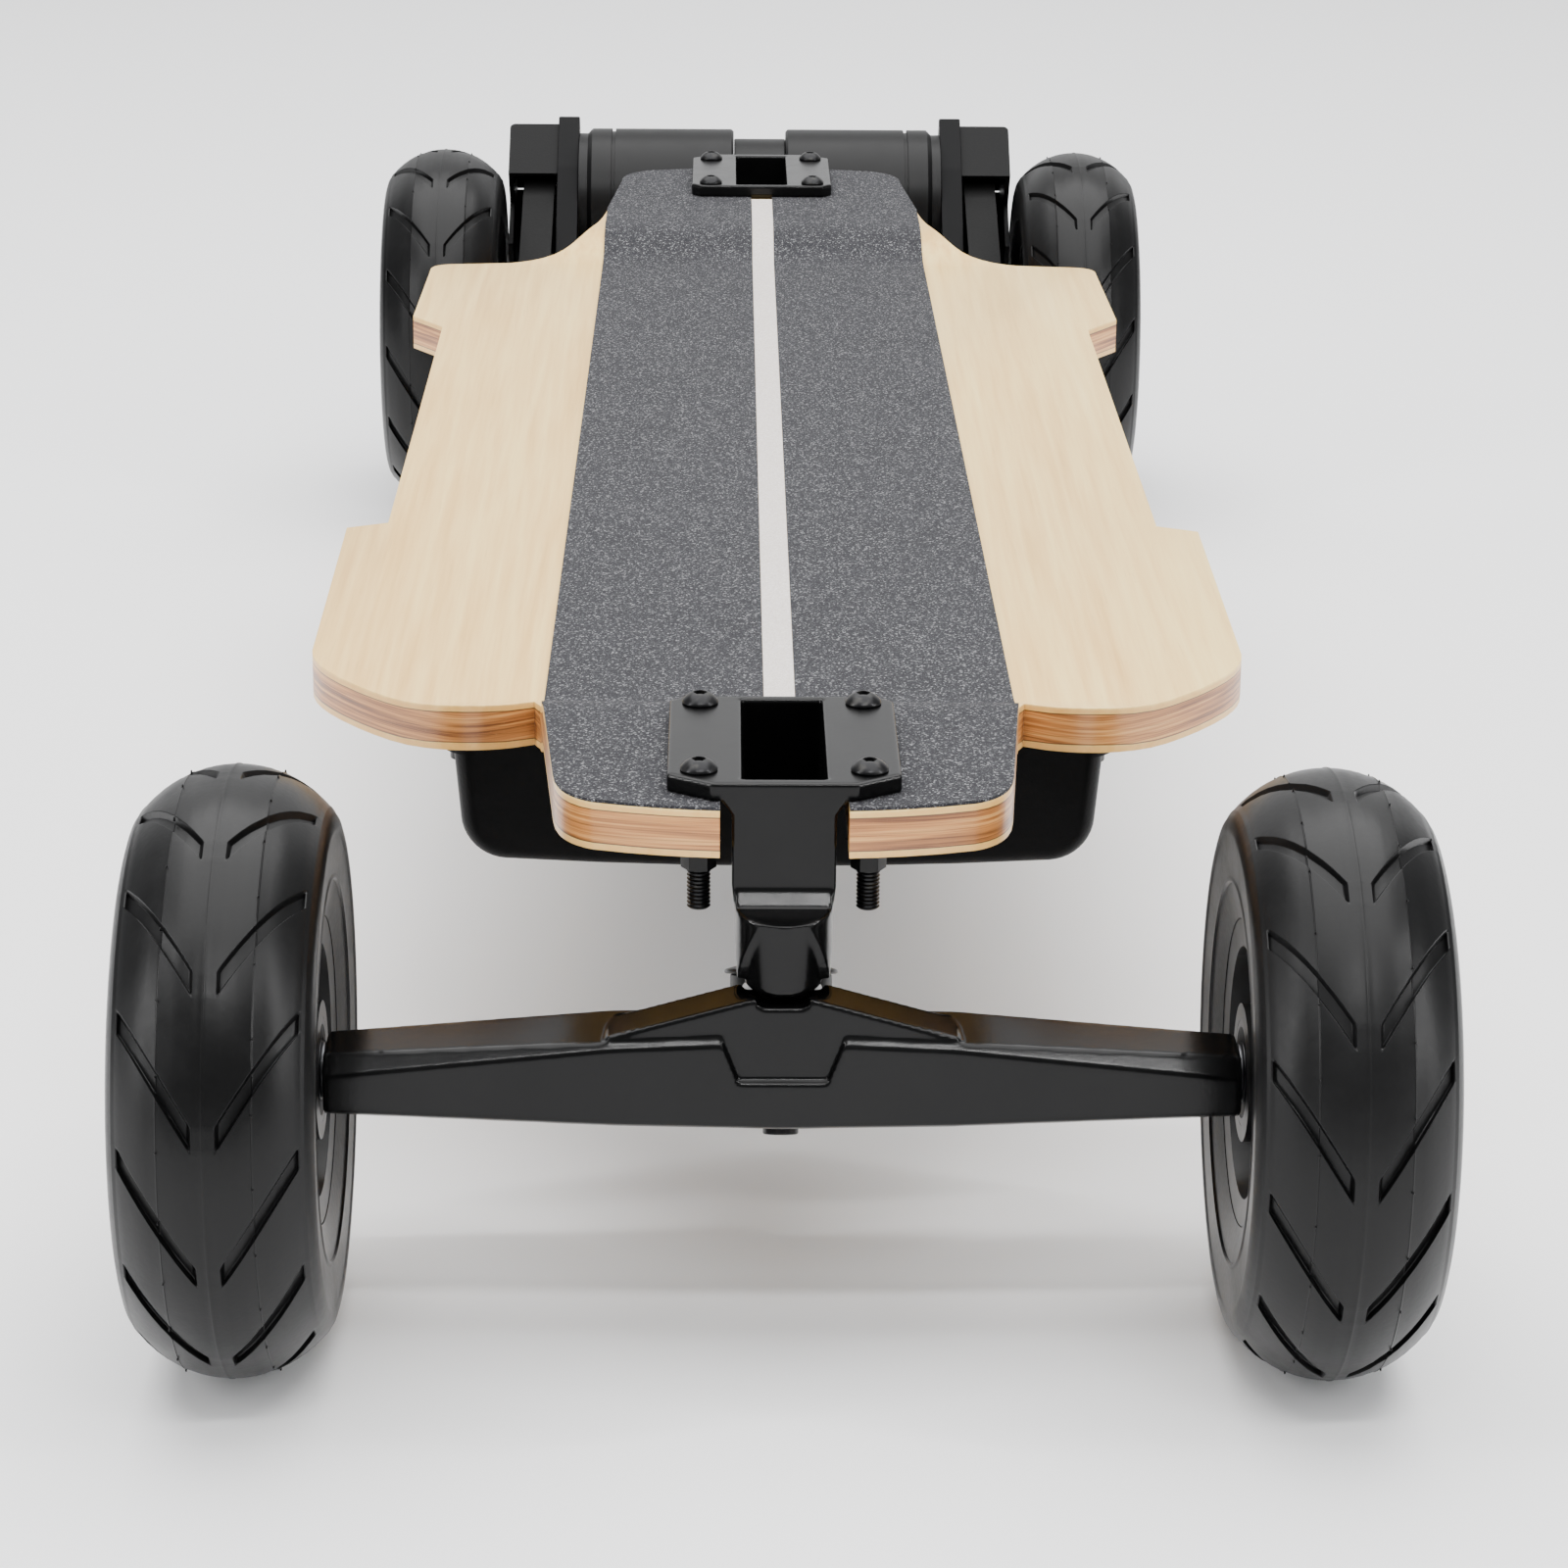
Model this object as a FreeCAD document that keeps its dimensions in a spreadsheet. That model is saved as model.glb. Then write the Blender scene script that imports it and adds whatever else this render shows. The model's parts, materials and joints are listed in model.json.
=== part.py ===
"""Electric skateboard: laminated deck, two cast trucks, four pneumatic wheels, twin belt drive.

Frame: millimetres, +Z up, nose towards -Y, origin on the ground under the middle of the overall box.
Truck pieces are drawn in a truck's own frame (x across, y inboard, z above the ground) and then
placed at its axle; wheel pieces are drawn about the middle of the wheel with +X pointing outboard.
"""
import FreeCAD
import Part
import Sketcher
import math
import os
from FreeCAD import Placement, Rotation, Vector

DIMENSIONS = {
    "wheelbase": 834.0,
    "front_axle_y": -423.25,
    "axle_height": 75.0,
    "axle_radius": 5.0,
    "shaft_gap": 0.05,
    "half_track": 133.0,
    "tyre_radius": 75.0,
    "tyre_half": 24.1,
    "bead_radius": 34.0,
    "rim_half": 20.0,
    "hub_inner": 20.5,
    "hub_outer": 12.5,
    "bearing_radius": 13.0,
    "bearing_width": 8.0,
    "deck_thickness": 12.0,
    "platform_top": 136.0,
    "truck_bed_top": 144.0,
    "ramp_front_start": 72.0,
    "ramp_front_end": 110.0,
    "ramp_rear_start": 670.0,
    "ramp_rear_end": 708.0,
    "grip_thickness": 0.8,
    "grip_half": 61.9,
    "stripe_half": 4.2,
    "slot_half": 15.5,
    "slot_length": 69.6,
    "plate_half": 28.4,
    "plate_thickness": 4.6,
    "bolt_x": 20.65,
    "bolt_y": 26.99,
    "bolt_centre": 36.6,
    "bolt_radius": 2.5,
    "pivot_height": 105.0,
    "pivot_radius": 6.0,
    "cup_radius": 8.5,
    "kingpin_tilt": 20.0,
    "kingpin_radius": 4.5,
    "seat_y": 29.8,
    "seat_z": 70.8,
    "seat_thickness": 9.0,
    "bushing_radius": 12.8,
    "upper_bushing": 12.5,
    "lower_bushing": 8.0,
    "washer_radius": 14.3,
    "washer_thickness": 2.0,
    "kingpin_head": 7.6,
    "neck_half": 12.6,
    "boss_radius": 11.9,
    "front_arm_end": 111.5,
    "rear_arm_end": 77.6,
    "spigot_end": 86.0,
    "spigot_radius": 11.0,
    "motor_back": 56.0,
    "motor_height": 118.4,
    "motor_radius": 31.5,
    "motor_inner": 11.2,
    "motor_outer": 74.0,
    "clamp_inner": 77.9,
    "clamp_thickness": 9.2,
    "pulley_inner": 88.0,
    "pulley_width": 14.0,
    "tooth_pitch": 5.0,
    "wheel_teeth": 40.0,
    "motor_teeth": 15.0,
    "belt_thickness": 1.8,
    "belt_gap": 0.4,
    "cover_outer": 108.2,
    "case_half": 87.0,
    "case_front": 112.0,
    "case_back": 652.0,
    "case_bottom": 87.0,
    "case_wall": 3.0,
}

doc = FreeCAD.newDocument("electric_skateboard")
sheet = doc.addObject("Spreadsheet::Sheet", "dims")
for row, (alias, value) in enumerate(DIMENSIONS.items(), start=1):
    sheet.set(f"A{row}", alias)
    sheet.set(f"B{row}", str(value))
    sheet.setAlias(f"B{row}", alias)
doc.recompute()

ACROSS = Rotation(Vector(0, 1, 0), 90)
TURN_BACK = Rotation(Vector(0, 0, 1), 180)
SUBPARTS = []


def size(term):
    """A number, or the value of an expression on the sheet."""
    if isinstance(term, str):
        return float(sheet.evalExpression(term))
    return float(term)


def dim(alias):
    return size("dims." + alias)


def bind(item, **terms):
    for name, term in terms.items():
        setattr(item, name, size(term))
        if isinstance(term, str):
            item.setExpression(name, term)


def place(item, at=(0, 0, 0), turn=None):
    item.Placement = Placement(Vector(*[size(term) for term in at]), turn or Rotation())
    for key, term in zip("xyz", at):
        if isinstance(term, str):
            item.setExpression("Placement.Base." + key, term)
    return item


def cylinder(radius, length, at=(0, 0, 0), turn=None):
    item = doc.addObject("Part::Cylinder", "cylinder")
    bind(item, Radius=radius, Height=length)
    return place(item, at, turn)


def cone(radius_low, radius_high, length, at=(0, 0, 0), turn=None):
    item = doc.addObject("Part::Cone", "cone")
    bind(item, Radius1=radius_low, Radius2=radius_high, Height=length)
    return place(item, at, turn)


def ball(radius, at=(0, 0, 0)):
    item = doc.addObject("Part::Sphere", "ball")
    bind(item, Radius=radius)
    return place(item, at)


def ring(radius, section, at=(0, 0, 0), turn=None):
    item = doc.addObject("Part::Torus", "ring")
    bind(item, Radius1=radius, Radius2=section)
    return place(item, at, turn)


def hexagon(radius, length, at=(0, 0, 0), turn=None):
    item = doc.addObject("Part::Prism", "hexagon")
    item.Polygon = 6
    bind(item, Circumradius=radius, Height=length)
    return place(item, at, turn)


def block(low, high, turn=None):
    """A box between two corners, each given as numbers or expressions."""
    item = doc.addObject("Part::Box", "block")
    spans = [f"({b}) - ({a})" if isinstance(a, str) or isinstance(b, str) else b - a
             for a, b in zip(low, high)]
    bind(item, Length=spans[0], Width=spans[1], Height=spans[2])
    return place(item, low, turn)


def fuse(*items):
    joined = doc.addObject("Part::MultiFuse", "joined")
    joined.Shapes = list(items)
    return joined


def common(*items):
    shared = doc.addObject("Part::MultiCommon", "shared")
    shared.Shapes = list(items)
    return shared


def cut(base, *tools):
    trimmed = doc.addObject("Part::Cut", "trimmed")
    trimmed.Base = base
    trimmed.Tool = tools[0] if len(tools) == 1 else fuse(*tools)
    return trimmed


def group(*items):
    """Separate solids of one kind that share a node."""
    together = doc.addObject("Part::Compound", "together")
    together.Links = list(items)
    return together


def solid(shape, name="formed"):
    item = doc.addObject("Part::Feature", name)
    item.Shape = shape
    return item


def sketch_in(body, plane):
    origin_plane = next(f for f in body.Origin.OriginFeatures if f.Role == plane)
    sketch = body.newObject("Sketcher::SketchObject", "outline")
    sketch.AttachmentSupport = [(origin_plane, "")]
    sketch.MapMode = "FlatFace"
    return sketch


def draw_polygon(sketch, points):
    """Straight-sided outline; every corner is held to the sheet by two constraints."""
    corners = [Vector(size(a), size(b), 0) for a, b in points]
    count = len(corners)
    first = sketch.GeometryCount
    for i in range(count):
        sketch.addGeometry(Part.LineSegment(corners[i], corners[(i + 1) % count]), False)
    for i in range(count):
        follower = first + (i + 1) % count
        sketch.addConstraint(Sketcher.Constraint("Coincident", first + i, 2, follower, 1))
    for i, (a, b) in enumerate(points):
        for kind, term, value in (("DistanceX", a, corners[i].x), ("DistanceY", b, corners[i].y)):
            index = sketch.addConstraint(Sketcher.Constraint(kind, -1, 1, first + i, 1, value))
            if isinstance(term, str):
                sketch.setExpression(f"Constraints[{index}]", term)


def padded(plane, points, length, middle=True, at=(0, 0, 0), turn=None):
    """A body with one straight-sided sketch padded by length, about its plane or upwards from it."""
    body = doc.addObject("PartDesign::Body", "body")
    sketch = sketch_in(body, plane)
    draw_polygon(sketch, points)
    pad = body.newObject("PartDesign::Pad", "pad")
    pad.Profile = sketch
    bind(pad, Length=length)
    pad.Midplane = middle
    body.Tip = pad
    return place(body, at, turn)


def padded_edges(plane, edges, length, middle=True, at=(0, 0, 0), turn=None):
    """The same from edges that include arcs and curves."""
    body = doc.addObject("PartDesign::Body", "body")
    sketch = sketch_in(body, plane)
    for edge in edges:
        sketch.addGeometry(edge, False)
    for index in range(sketch.GeometryCount):
        sketch.addConstraint(Sketcher.Constraint("Block", index))
    pad = body.newObject("PartDesign::Pad", "pad")
    pad.Profile = sketch
    bind(pad, Length=length)
    pad.Midplane = middle
    body.Tip = pad
    return place(body, at, turn)


def turned(points, at=(0, 0, 0), turn=None, axis="H_Axis"):
    """A body turned about X (H_Axis) or Z (V_Axis) from a section in the XZ plane."""
    body = doc.addObject("PartDesign::Body", "body")
    sketch = sketch_in(body, "XZ_Plane")
    draw_polygon(sketch, points)
    revolution = body.newObject("PartDesign::Revolution", "revolution")
    revolution.Profile = sketch
    revolution.ReferenceAxis = (sketch, [axis])
    revolution.Angle = 360.0
    body.Tip = revolution
    return place(body, at, turn)


def name_subpart(item, label, placement=None):
    """Give a finished piece its name and its place on the board."""
    item.Label = label
    if placement is not None:
        item.Placement = placement.multiply(item.Placement)
    SUBPARTS.append(item)
    return item


# ---------------------------------------------------------------- places on the board

FRONT_Y = dim("front_axle_y")
REAR_Y = FRONT_Y + dim("wheelbase")
AXLE_Z = dim("axle_height")
TRUCKS = {
    "front": Placement(Vector(0, FRONT_Y, 0), Rotation()),
    "rear": Placement(Vector(0, REAR_Y, 0), TURN_BACK),
}
TILT = math.radians(dim("kingpin_tilt"))
KINGPIN_UP = Vector(0, math.sin(TILT), math.cos(TILT))
KINGPIN_TURN = Rotation(Vector(0, 0, 1), KINGPIN_UP)
SEAT = Vector(0, dim("seat_y"), dim("seat_z"))
PIVOT = Vector(0, 0, dim("pivot_height"))
STEER_UP = (PIVOT - SEAT).normalize()
STEER_TURN = Rotation(Vector(0, 0, 1), STEER_UP)


def on_kingpin(distance):
    """A point on the kingpin's axis, measured up from the middle of the hanger's seat."""
    point = SEAT + KINGPIN_UP * distance
    return (point.x, point.y, point.z)


def on_steer_axis(distance):
    """A point on the steering axis, measured up from the pivot."""
    point = PIVOT + STEER_UP * distance
    return (point.x, point.y, point.z)


# ---------------------------------------------------------------- deck

def ramp_arcs(start, end, low, high, offset):
    """Two equal tangent arcs from height low at start to height high at end, moved by offset along
    the surface's normal."""
    length = end - start
    rise = high - low
    radius = (length ** 2 + rise ** 2) / (4 * abs(rise))
    half_angle = 2 * math.atan2(abs(rise), length)
    way = 1 if rise > 0 else -1
    first_centre = Vector(start, low + way * radius, 0)
    second_centre = Vector(end, high - way * radius, 0)
    arcs = []
    for centre, side, turn_sign in ((first_centre, -way, 1), (second_centre, way, -1)):
        bent = radius + side * offset
        angles = [0.0, half_angle / 2, half_angle]
        points = [Vector(centre.x + turn_sign * bent * math.sin(a), centre.y + side * bent * math.cos(a), 0)
                  for a in angles]
        if turn_sign < 0:
            points.reverse()
        arcs.append(Part.Arc(*points))
    return arcs


def surface_line(offset):
    """The deck's top line from nose to tail in the YZ plane, moved by offset along its normal."""
    low = dim("platform_top")
    high = dim("truck_bed_top")
    front_ramp = ramp_arcs(FRONT_Y + dim("ramp_front_start"), FRONT_Y + dim("ramp_front_end"),
                           high, low, offset)
    rear_ramp = ramp_arcs(FRONT_Y + dim("ramp_rear_start"), FRONT_Y + dim("ramp_rear_end"),
                          low, high, offset)
    nose = Vector(FRONT_Y - 20, high + offset, 0)
    tail = Vector(REAR_Y + 20, high + offset, 0)
    edges = [Part.LineSegment(nose, front_ramp[0].StartPoint), *front_ramp,
             Part.LineSegment(front_ramp[-1].EndPoint, rear_ramp[0].StartPoint), *rear_ramp,
             Part.LineSegment(rear_ramp[-1].EndPoint, tail)]
    return edges, nose, tail


def deck_layer(top, bottom, width):
    upper, upper_nose, upper_tail = surface_line(top)
    lower, lower_nose, lower_tail = surface_line(bottom)
    ends = [Part.LineSegment(upper_nose, lower_nose), Part.LineSegment(upper_tail, lower_tail)]
    return padded_edges("YZ_Plane", upper + lower + ends, width)


# Half of the deck's outline: (distance from the middle line, distance behind the front axle).
STRAIGHT_RUNS = [
    [(56.4, 21.0), (62.9, 101.0), (64.6, 106.5)],
    [(127.2, 153.0), (128.4, 281.0), (116.4, 287.0), (116.9, 559.0), (128.7, 577.0), (127.7, 659.0)],
    [(118.0, 670.4), (98.0, 672.6)],
    [(61.9, 740.0), (57.4, 798.0)],
]
CURVED_RUNS = [
    [(0.0, -5.6), (18.6, -5.0), (33.0, -2.8), (46.0, 0.8)],
    [(46.0, 0.8), (51.4, 5.2), (54.8, 12.0), (56.4, 21.0)],
    [(64.6, 106.5), (72.0, 101.5), (82.0, 98.0), (93.0, 102.0), (106.0, 113.0), (116.5, 126.0),
     (123.5, 138.0), (127.2, 153.0)],
    [(127.7, 659.0), (125.4, 667.4), (118.0, 670.4)],
    [(98.0, 672.6), (84.5, 679.4), (74.3, 690.0), (68.0, 703.0), (64.0, 720.0), (61.9, 740.0)],
    [(57.4, 798.0), (55.6, 811.0), (51.0, 818.6), (42.0, 823.0)],
    [(42.0, 823.0), (31.0, 826.0), (18.6, 828.6), (0.0, 829.6)],
]


def curve_through(points):
    curve = Part.BSplineCurve()
    curve.interpolate(points)
    return curve


def deck_outline(side):
    """One half of the deck's outline: side is 1 for +X and -1 for -X."""
    def board_points(pairs):
        return [Vector(side * x, FRONT_Y + y, 0) for x, y in pairs]

    edges = []
    for run in STRAIGHT_RUNS:
        points = board_points(run)
        edges += [Part.LineSegment(a, b) for a, b in zip(points, points[1:])]
    return edges + [curve_through(board_points(run)) for run in CURVED_RUNS]


def deck_plan():
    edges = deck_outline(1) + deck_outline(-1)
    return padded_edges("XY_Plane", edges, 200, middle=False)


def truck_slots(half):
    """The slots in nose and tail that the baseplates' necks pass through."""
    length = dim("slot_length")
    return [block((-half, FRONT_Y - 30, 100), (half, FRONT_Y + length, 200)),
            block((-half, REAR_Y - length, 100), (half, REAR_Y + 30, 200))]


def bolt_places():
    """The eight deck bolts, in the board's frame."""
    centre = dim("bolt_centre")
    places = []
    for middle in (FRONT_Y + centre, REAR_Y - centre):
        for across in (-1, 1):
            for along in (-1, 1):
                places.append((across * dim("bolt_x"), middle + along * dim("bolt_y")))
    return places


def bolt_holes(radius, low=100, length=100):
    return [cylinder(radius, length, (x, y, low)) for x, y in bolt_places()]


def case_screw_places():
    half = dim("case_half") - 2.0
    front = FRONT_Y + dim("case_front")
    back = FRONT_Y + dim("case_back")
    places = []
    for row in range(6):
        along = front + 20 + row * (back - front - 40) / 5
        places += [(-half, along), (half, along)]
    return places


def make_deck():
    board = common(deck_layer(0, -dim("deck_thickness"), 280), deck_plan())
    pilots = [cylinder(1.6, 9, (x, y, dim("platform_top") - dim("deck_thickness") - 1))
              for x, y in case_screw_places()]
    openings = truck_slots(dim("slot_half")) + bolt_holes("dims.bolt_radius + 0.2") + pilots
    name_subpart(cut(board, *openings), "deck_board")

    edge = dim("grip_half")
    stripe = dim("stripe_half")
    front = FRONT_Y - 10
    back = REAR_Y + 10
    strips = {"left_grip_sheet": (-edge, -stripe), "right_grip_sheet": (stripe, edge)}
    for label, (low, high) in strips.items():
        strip = block((low, front, 100), (high, back, 200))
        skin = deck_layer(dim("grip_thickness"), 0.02, 280)
        sheet_cut = cut(common(skin, deck_plan(), strip), *truck_slots(dim("slot_half")),
                        *bolt_holes("dims.bolt_radius + 0.2"))
        name_subpart(sheet_cut, label)
    length = dim("slot_length")
    inlay = block((-stripe + 0.1, FRONT_Y + length + 5, 100), (stripe - 0.1, REAR_Y - length - 5, 200))
    name_subpart(common(deck_layer(dim("grip_thickness"), 0.02, 280), inlay), "centre_stripe")


# ---------------------------------------------------------------- trucks

PLATE_OUTLINE = [(-17.5, -1.0), (17.5, -1.0), ("dims.plate_half", 6.5), ("dims.plate_half", 66.0),
                 (24.8, 70.0), (-24.8, 70.0), ("-dims.plate_half", 66.0), ("-dims.plate_half", 6.5)]
NECK_SIDE = [(-1.0, 145.0), (-1.0, 122.6), (-4.0, 118.6), (-11.9, 117.2), (-4.8, 101.0), (3.4, 101.0),
             (12.0, 108.0),
             (24.0, 98.0), (50.0, 96.0), (62.0, 106.0), (69.2, 128.0), (69.2, 145.0)]
NECK_FRONT = [(15.2, 145.0), ("dims.neck_half", 141.6), ("dims.neck_half", 123.0),
              ("dims.boss_radius", 117.2), (11.6, 108.0), (11.0, 95.0), (-11.0, 95.0), (-11.6, 108.0),
              ("-dims.boss_radius", 117.2), ("-dims.neck_half", 123.0), ("-dims.neck_half", 141.6),
              (-15.2, 145.0)]
POCKET_FRONT = [(-10.4, 152.0), (-8.6, 114.0), (8.6, 114.0), (10.4, 152.0)]
BOSS_Y = -0.8


def washer_top():
    """Where the upper cup washer ends along the kingpin, and the baseplate's seat begins."""
    return dim("seat_thickness") / 2 + dim("upper_bushing") + dim("washer_thickness") + 0.15


def make_neck():
    """The casting below the plate: a flat-sided neck that runs out into the round pivot boss."""
    side = padded("YZ_Plane", NECK_SIDE, 34.0)
    front = padded("XZ_Plane", NECK_FRONT, 160.0)
    plan = fuse(cylinder("dims.boss_radius", 60, (0, BOSS_Y, 90)), block((-16, -1.0, 90), (16, 70, 150)))
    return common(side, front, plan)


def make_baseplate(end):
    bed = dim("truck_bed_top") + dim("grip_thickness") + 0.05
    plate = padded("XY_Plane", PLATE_OUTLINE, "dims.plate_thickness", middle=False, at=(0, 0, bed))
    boss = fuse(cone(9.3, "dims.boss_radius", 18.2, (0, BOSS_Y, 99.0)),
                cone(7.7, 9.3, 1.6, (0, BOSS_Y, 97.4)))
    seat = cylinder(10.6, 16, on_kingpin(washer_top()), KINGPIN_TURN)
    under = cylinder(40, 40, on_kingpin(washer_top() - 40), KINGPIN_TURN)
    pocket = padded("XZ_Plane", POCKET_FRONT, 64.0, at=(0, 35.0, 0))
    head_room = cylinder("dims.kingpin_head + 0.5", 20, on_kingpin(washer_top() + 12), KINGPIN_TURN)
    shank_hole = cylinder("dims.kingpin_radius + 0.1", 60, on_kingpin(0), KINGPIN_TURN)
    cup_bore = cylinder("dims.cup_radius + 0.05", 40, on_steer_axis(-40), STEER_TURN)
    cup_end = ball("dims.cup_radius + 0.05", on_steer_axis(0))
    whole = fuse(plate, cut(fuse(make_neck(), boss, seat), under))
    holes = [cylinder("dims.bolt_radius + 0.2", 20,
                      (x * dim("bolt_x"), dim("bolt_centre") + y * dim("bolt_y"), 140))
             for x in (-1, 1) for y in (-1, 1)]
    piece = cut(whole, pocket, head_room, shank_hole, cup_bore, cup_end, *holes)
    name_subpart(piece, end + "_baseplate", TRUCKS[end])


def make_deck_fasteners():
    plate_top = dim("truck_bed_top") + dim("grip_thickness") + 0.05 + dim("plate_thickness")
    wood_bottom = dim("truck_bed_top") - dim("deck_thickness")
    bolts = []
    nuts = []
    for x, y in bolt_places():
        head = common(ball(5.4, (x, y, plate_top - 2.2)), cylinder(4.6, 4, (x, y, plate_top + 0.02)))
        shank = cylinder("dims.bolt_radius", plate_top - 114.2, (x, y, 114.2))
        socket = hexagon(1.75, 5, (x, y, plate_top + 0.7))
        bolts.append(cut(fuse(head, shank), socket))
        low = wood_bottom - 7.42
        nut = fuse(hexagon(4.4, 6.0, (x, y, low)), cone(4.4, 5.6, 1.4, (x, y, low + 6.0)))
        nuts.append(cut(nut, cylinder("dims.bolt_radius + dims.shaft_gap", 20, (x, y, low - 5))))
    name_subpart(group(*bolts), "deck_bolts")
    name_subpart(group(*nuts), "deck_lock_nuts")


def both_trucks(pieces, label):
    """One node for the same small piece on the front and the rear truck."""
    placed = []
    for end in ("front", "rear"):
        for piece in pieces():
            piece.Placement = TRUCKS[end].multiply(piece.Placement)
            placed.append(piece)
    name_subpart(group(*placed), label)


def kingpin():
    tip = -(dim("seat_thickness") / 2 + dim("lower_bushing") + dim("washer_thickness") + 8.8)
    head = hexagon("dims.kingpin_head", 6.0, on_kingpin(washer_top() + 12.02), KINGPIN_TURN)
    shank = cylinder("dims.kingpin_radius", washer_top() + 12.1 - tip, on_kingpin(tip), KINGPIN_TURN)
    return [fuse(head, shank)]


def kingpin_nut():
    below = dim("seat_thickness") / 2 + dim("lower_bushing") + dim("washer_thickness") + 0.1
    nut = hexagon("dims.kingpin_head", 5.0, on_kingpin(-below - 5.0), KINGPIN_TURN)
    bore = cylinder("dims.kingpin_radius + dims.shaft_gap", 20, on_kingpin(-below - 12), KINGPIN_TURN)
    return [cut(nut, bore)]


def cup_washers():
    """Pressed cups that hold each bushing's outer end."""
    washers = []
    upper = dim("seat_thickness") / 2 + dim("upper_bushing") + 0.1
    lower = -(dim("seat_thickness") / 2 + dim("lower_bushing") + 0.05)
    for distance, way in ((upper, 1), (lower, -1)):
        turn = KINGPIN_TURN if way > 0 else KINGPIN_TURN.multiply(Rotation(Vector(1, 0, 0), 180))
        dome = fuse(cylinder("dims.washer_radius", 1.0, on_kingpin(distance), turn),
                    cone("dims.washer_radius", 11.0, "dims.washer_thickness - 1.0",
                         on_kingpin(distance + way), turn))
        bore = cylinder("dims.kingpin_radius + 0.1", 20, on_kingpin(distance - way * 5), turn)
        washers.append(cut(dome, bore))
    return washers


def make_bushings(end):
    """Upper barrel and lower cone, each pressed between a cup and the hanger's seat."""
    half_seat = dim("seat_thickness") / 2
    upper = cylinder("dims.bushing_radius", "dims.upper_bushing", on_kingpin(half_seat + 0.05), KINGPIN_TURN)
    lower = cone(10.5, "dims.bushing_radius", "dims.lower_bushing",
                 on_kingpin(-half_seat - 0.02 - dim("lower_bushing")), KINGPIN_TURN)
    bushings = []
    for bushing in (upper, lower):
        bore = cylinder("dims.kingpin_radius + 0.1", 80, on_kingpin(-40), KINGPIN_TURN)
        bushings.append(cut(bushing, bore))
    name_subpart(group(*bushings), end + "_bushings", TRUCKS[end])


def pivot_cup():
    outside = fuse(cylinder("dims.cup_radius", 8, on_steer_axis(-8), STEER_TURN),
                   ball("dims.cup_radius", on_steer_axis(0)))
    inside = fuse(cylinder("dims.pivot_radius + dims.shaft_gap", 20, on_steer_axis(-20), STEER_TURN),
                  ball("dims.pivot_radius + dims.shaft_gap", on_steer_axis(0)))
    return [cut(outside, inside)]


def arm_section(x, low, front_top, ridge, top):
    """One cross-section of a hanger arm: (y, z) corners from the lower front edge round to the keel."""
    corners = [(-12.0, low), (-12.0, front_top), ridge, (7.0, top), (12.0, top - 4.6),
               (12.0, low + 2.6), (8.0, low - 1.6), (-9.4, low - 1.7)]
    wire = Part.makePolygon([Vector(x, y, z) for y, z in corners + corners[:1]])
    return wire


def arm_loft(side, end_x):
    sections = [arm_section(0.0, 65.2, 86.6, (-10.8, 88.2), 89.0),
                arm_section(side * 42.0, 66.0, 84.8, (-10.4, 86.6), 88.2),
                arm_section(side * end_x, 69.0, 77.6, (-8.0, 82.3), 82.4)]
    return solid(Part.makeLoft(sections, True, True), "arm")


GABLE = [(-43.0, 84.0), (-42.5, 87.7), (-5.6, 98.0), (5.6, 98.0), (42.5, 87.7), (43.0, 84.0)]
NOTCH = [(-20.0, 100.0), (20.0, 100.0), (15.4, 88.2), (10.9, 76.6), (-10.9, 76.6), (-15.4, 88.2)]


def make_hanger(end):
    """One casting: two arms, a gable that drops into a notch in their front, the bushing seat, the pivot."""
    arm_end = dim(end + "_arm_end")
    gable = padded("XZ_Plane", GABLE, 14.0, at=(0, -3.2, 0))
    notch = padded("XZ_Plane", NOTCH, 8.0, at=(0, -14.2, 0))
    seat = cylinder(17.0, "dims.seat_thickness", on_kingpin(-dim("seat_thickness") / 2), KINGPIN_TURN)
    drop = math.tan(TILT)
    near = SEAT.y - 8.0
    half_seat = dim("seat_thickness") / 2 / math.cos(TILT)
    web_side = [(4.0, SEAT.z + half_seat + (SEAT.y - 4.0) * drop), (SEAT.y, SEAT.z + half_seat),
                (SEAT.y, SEAT.z - half_seat), (near - 8.0, SEAT.z - half_seat), (4.0, 67.0)]
    web = padded("YZ_Plane", web_side, 34.0)
    neck = cone(11.0, "dims.pivot_radius", 14, on_steer_axis(-24.0), STEER_TURN)
    pin = fuse(cylinder("dims.pivot_radius", 26, on_steer_axis(-26), STEER_TURN),
               ball("dims.pivot_radius", on_steer_axis(0)))
    boss_room = cone(10.6, 14.6, 22.0, (0, BOSS_Y, 95.4))
    cup_room = cylinder("dims.cup_radius + 1.6", 40, on_steer_axis(-9.6), STEER_TURN)
    arms = fuse(arm_loft(1, arm_end), arm_loft(-1, arm_end), gable)
    body = fuse(cut(arms, notch, boss_room, cup_room), seat, web)
    parts = [body, cut(neck, cylinder(40, 20, on_steer_axis(-11.0), STEER_TURN)), pin]
    if end == "rear":
        for way in (-1, 1):
            start = dim("rear_arm_end") - 1.0
            low = start if way > 0 else -dim("spigot_end")
            parts.append(cylinder("dims.spigot_radius", dim("spigot_end") - start,
                                  (low, 0, "dims.axle_height"), ACROSS))
    hole = cylinder("dims.kingpin_radius + 3.0", 40, on_kingpin(-20), KINGPIN_TURN)
    above_seat = cylinder(18.0, 18, on_kingpin(dim("seat_thickness") / 2), KINGPIN_TURN)
    below_seat = cylinder("dims.washer_radius + 0.6", 26,
                          on_kingpin(-dim("seat_thickness") / 2 - 26), KINGPIN_TURN)
    axle_bore = cylinder("dims.axle_radius + dims.shaft_gap", 400, (-200, 0, "dims.axle_height"), ACROSS)
    name_subpart(cut(fuse(*parts), hole, above_seat, below_seat, axle_bore), end + "_hanger", TRUCKS[end])


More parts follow.
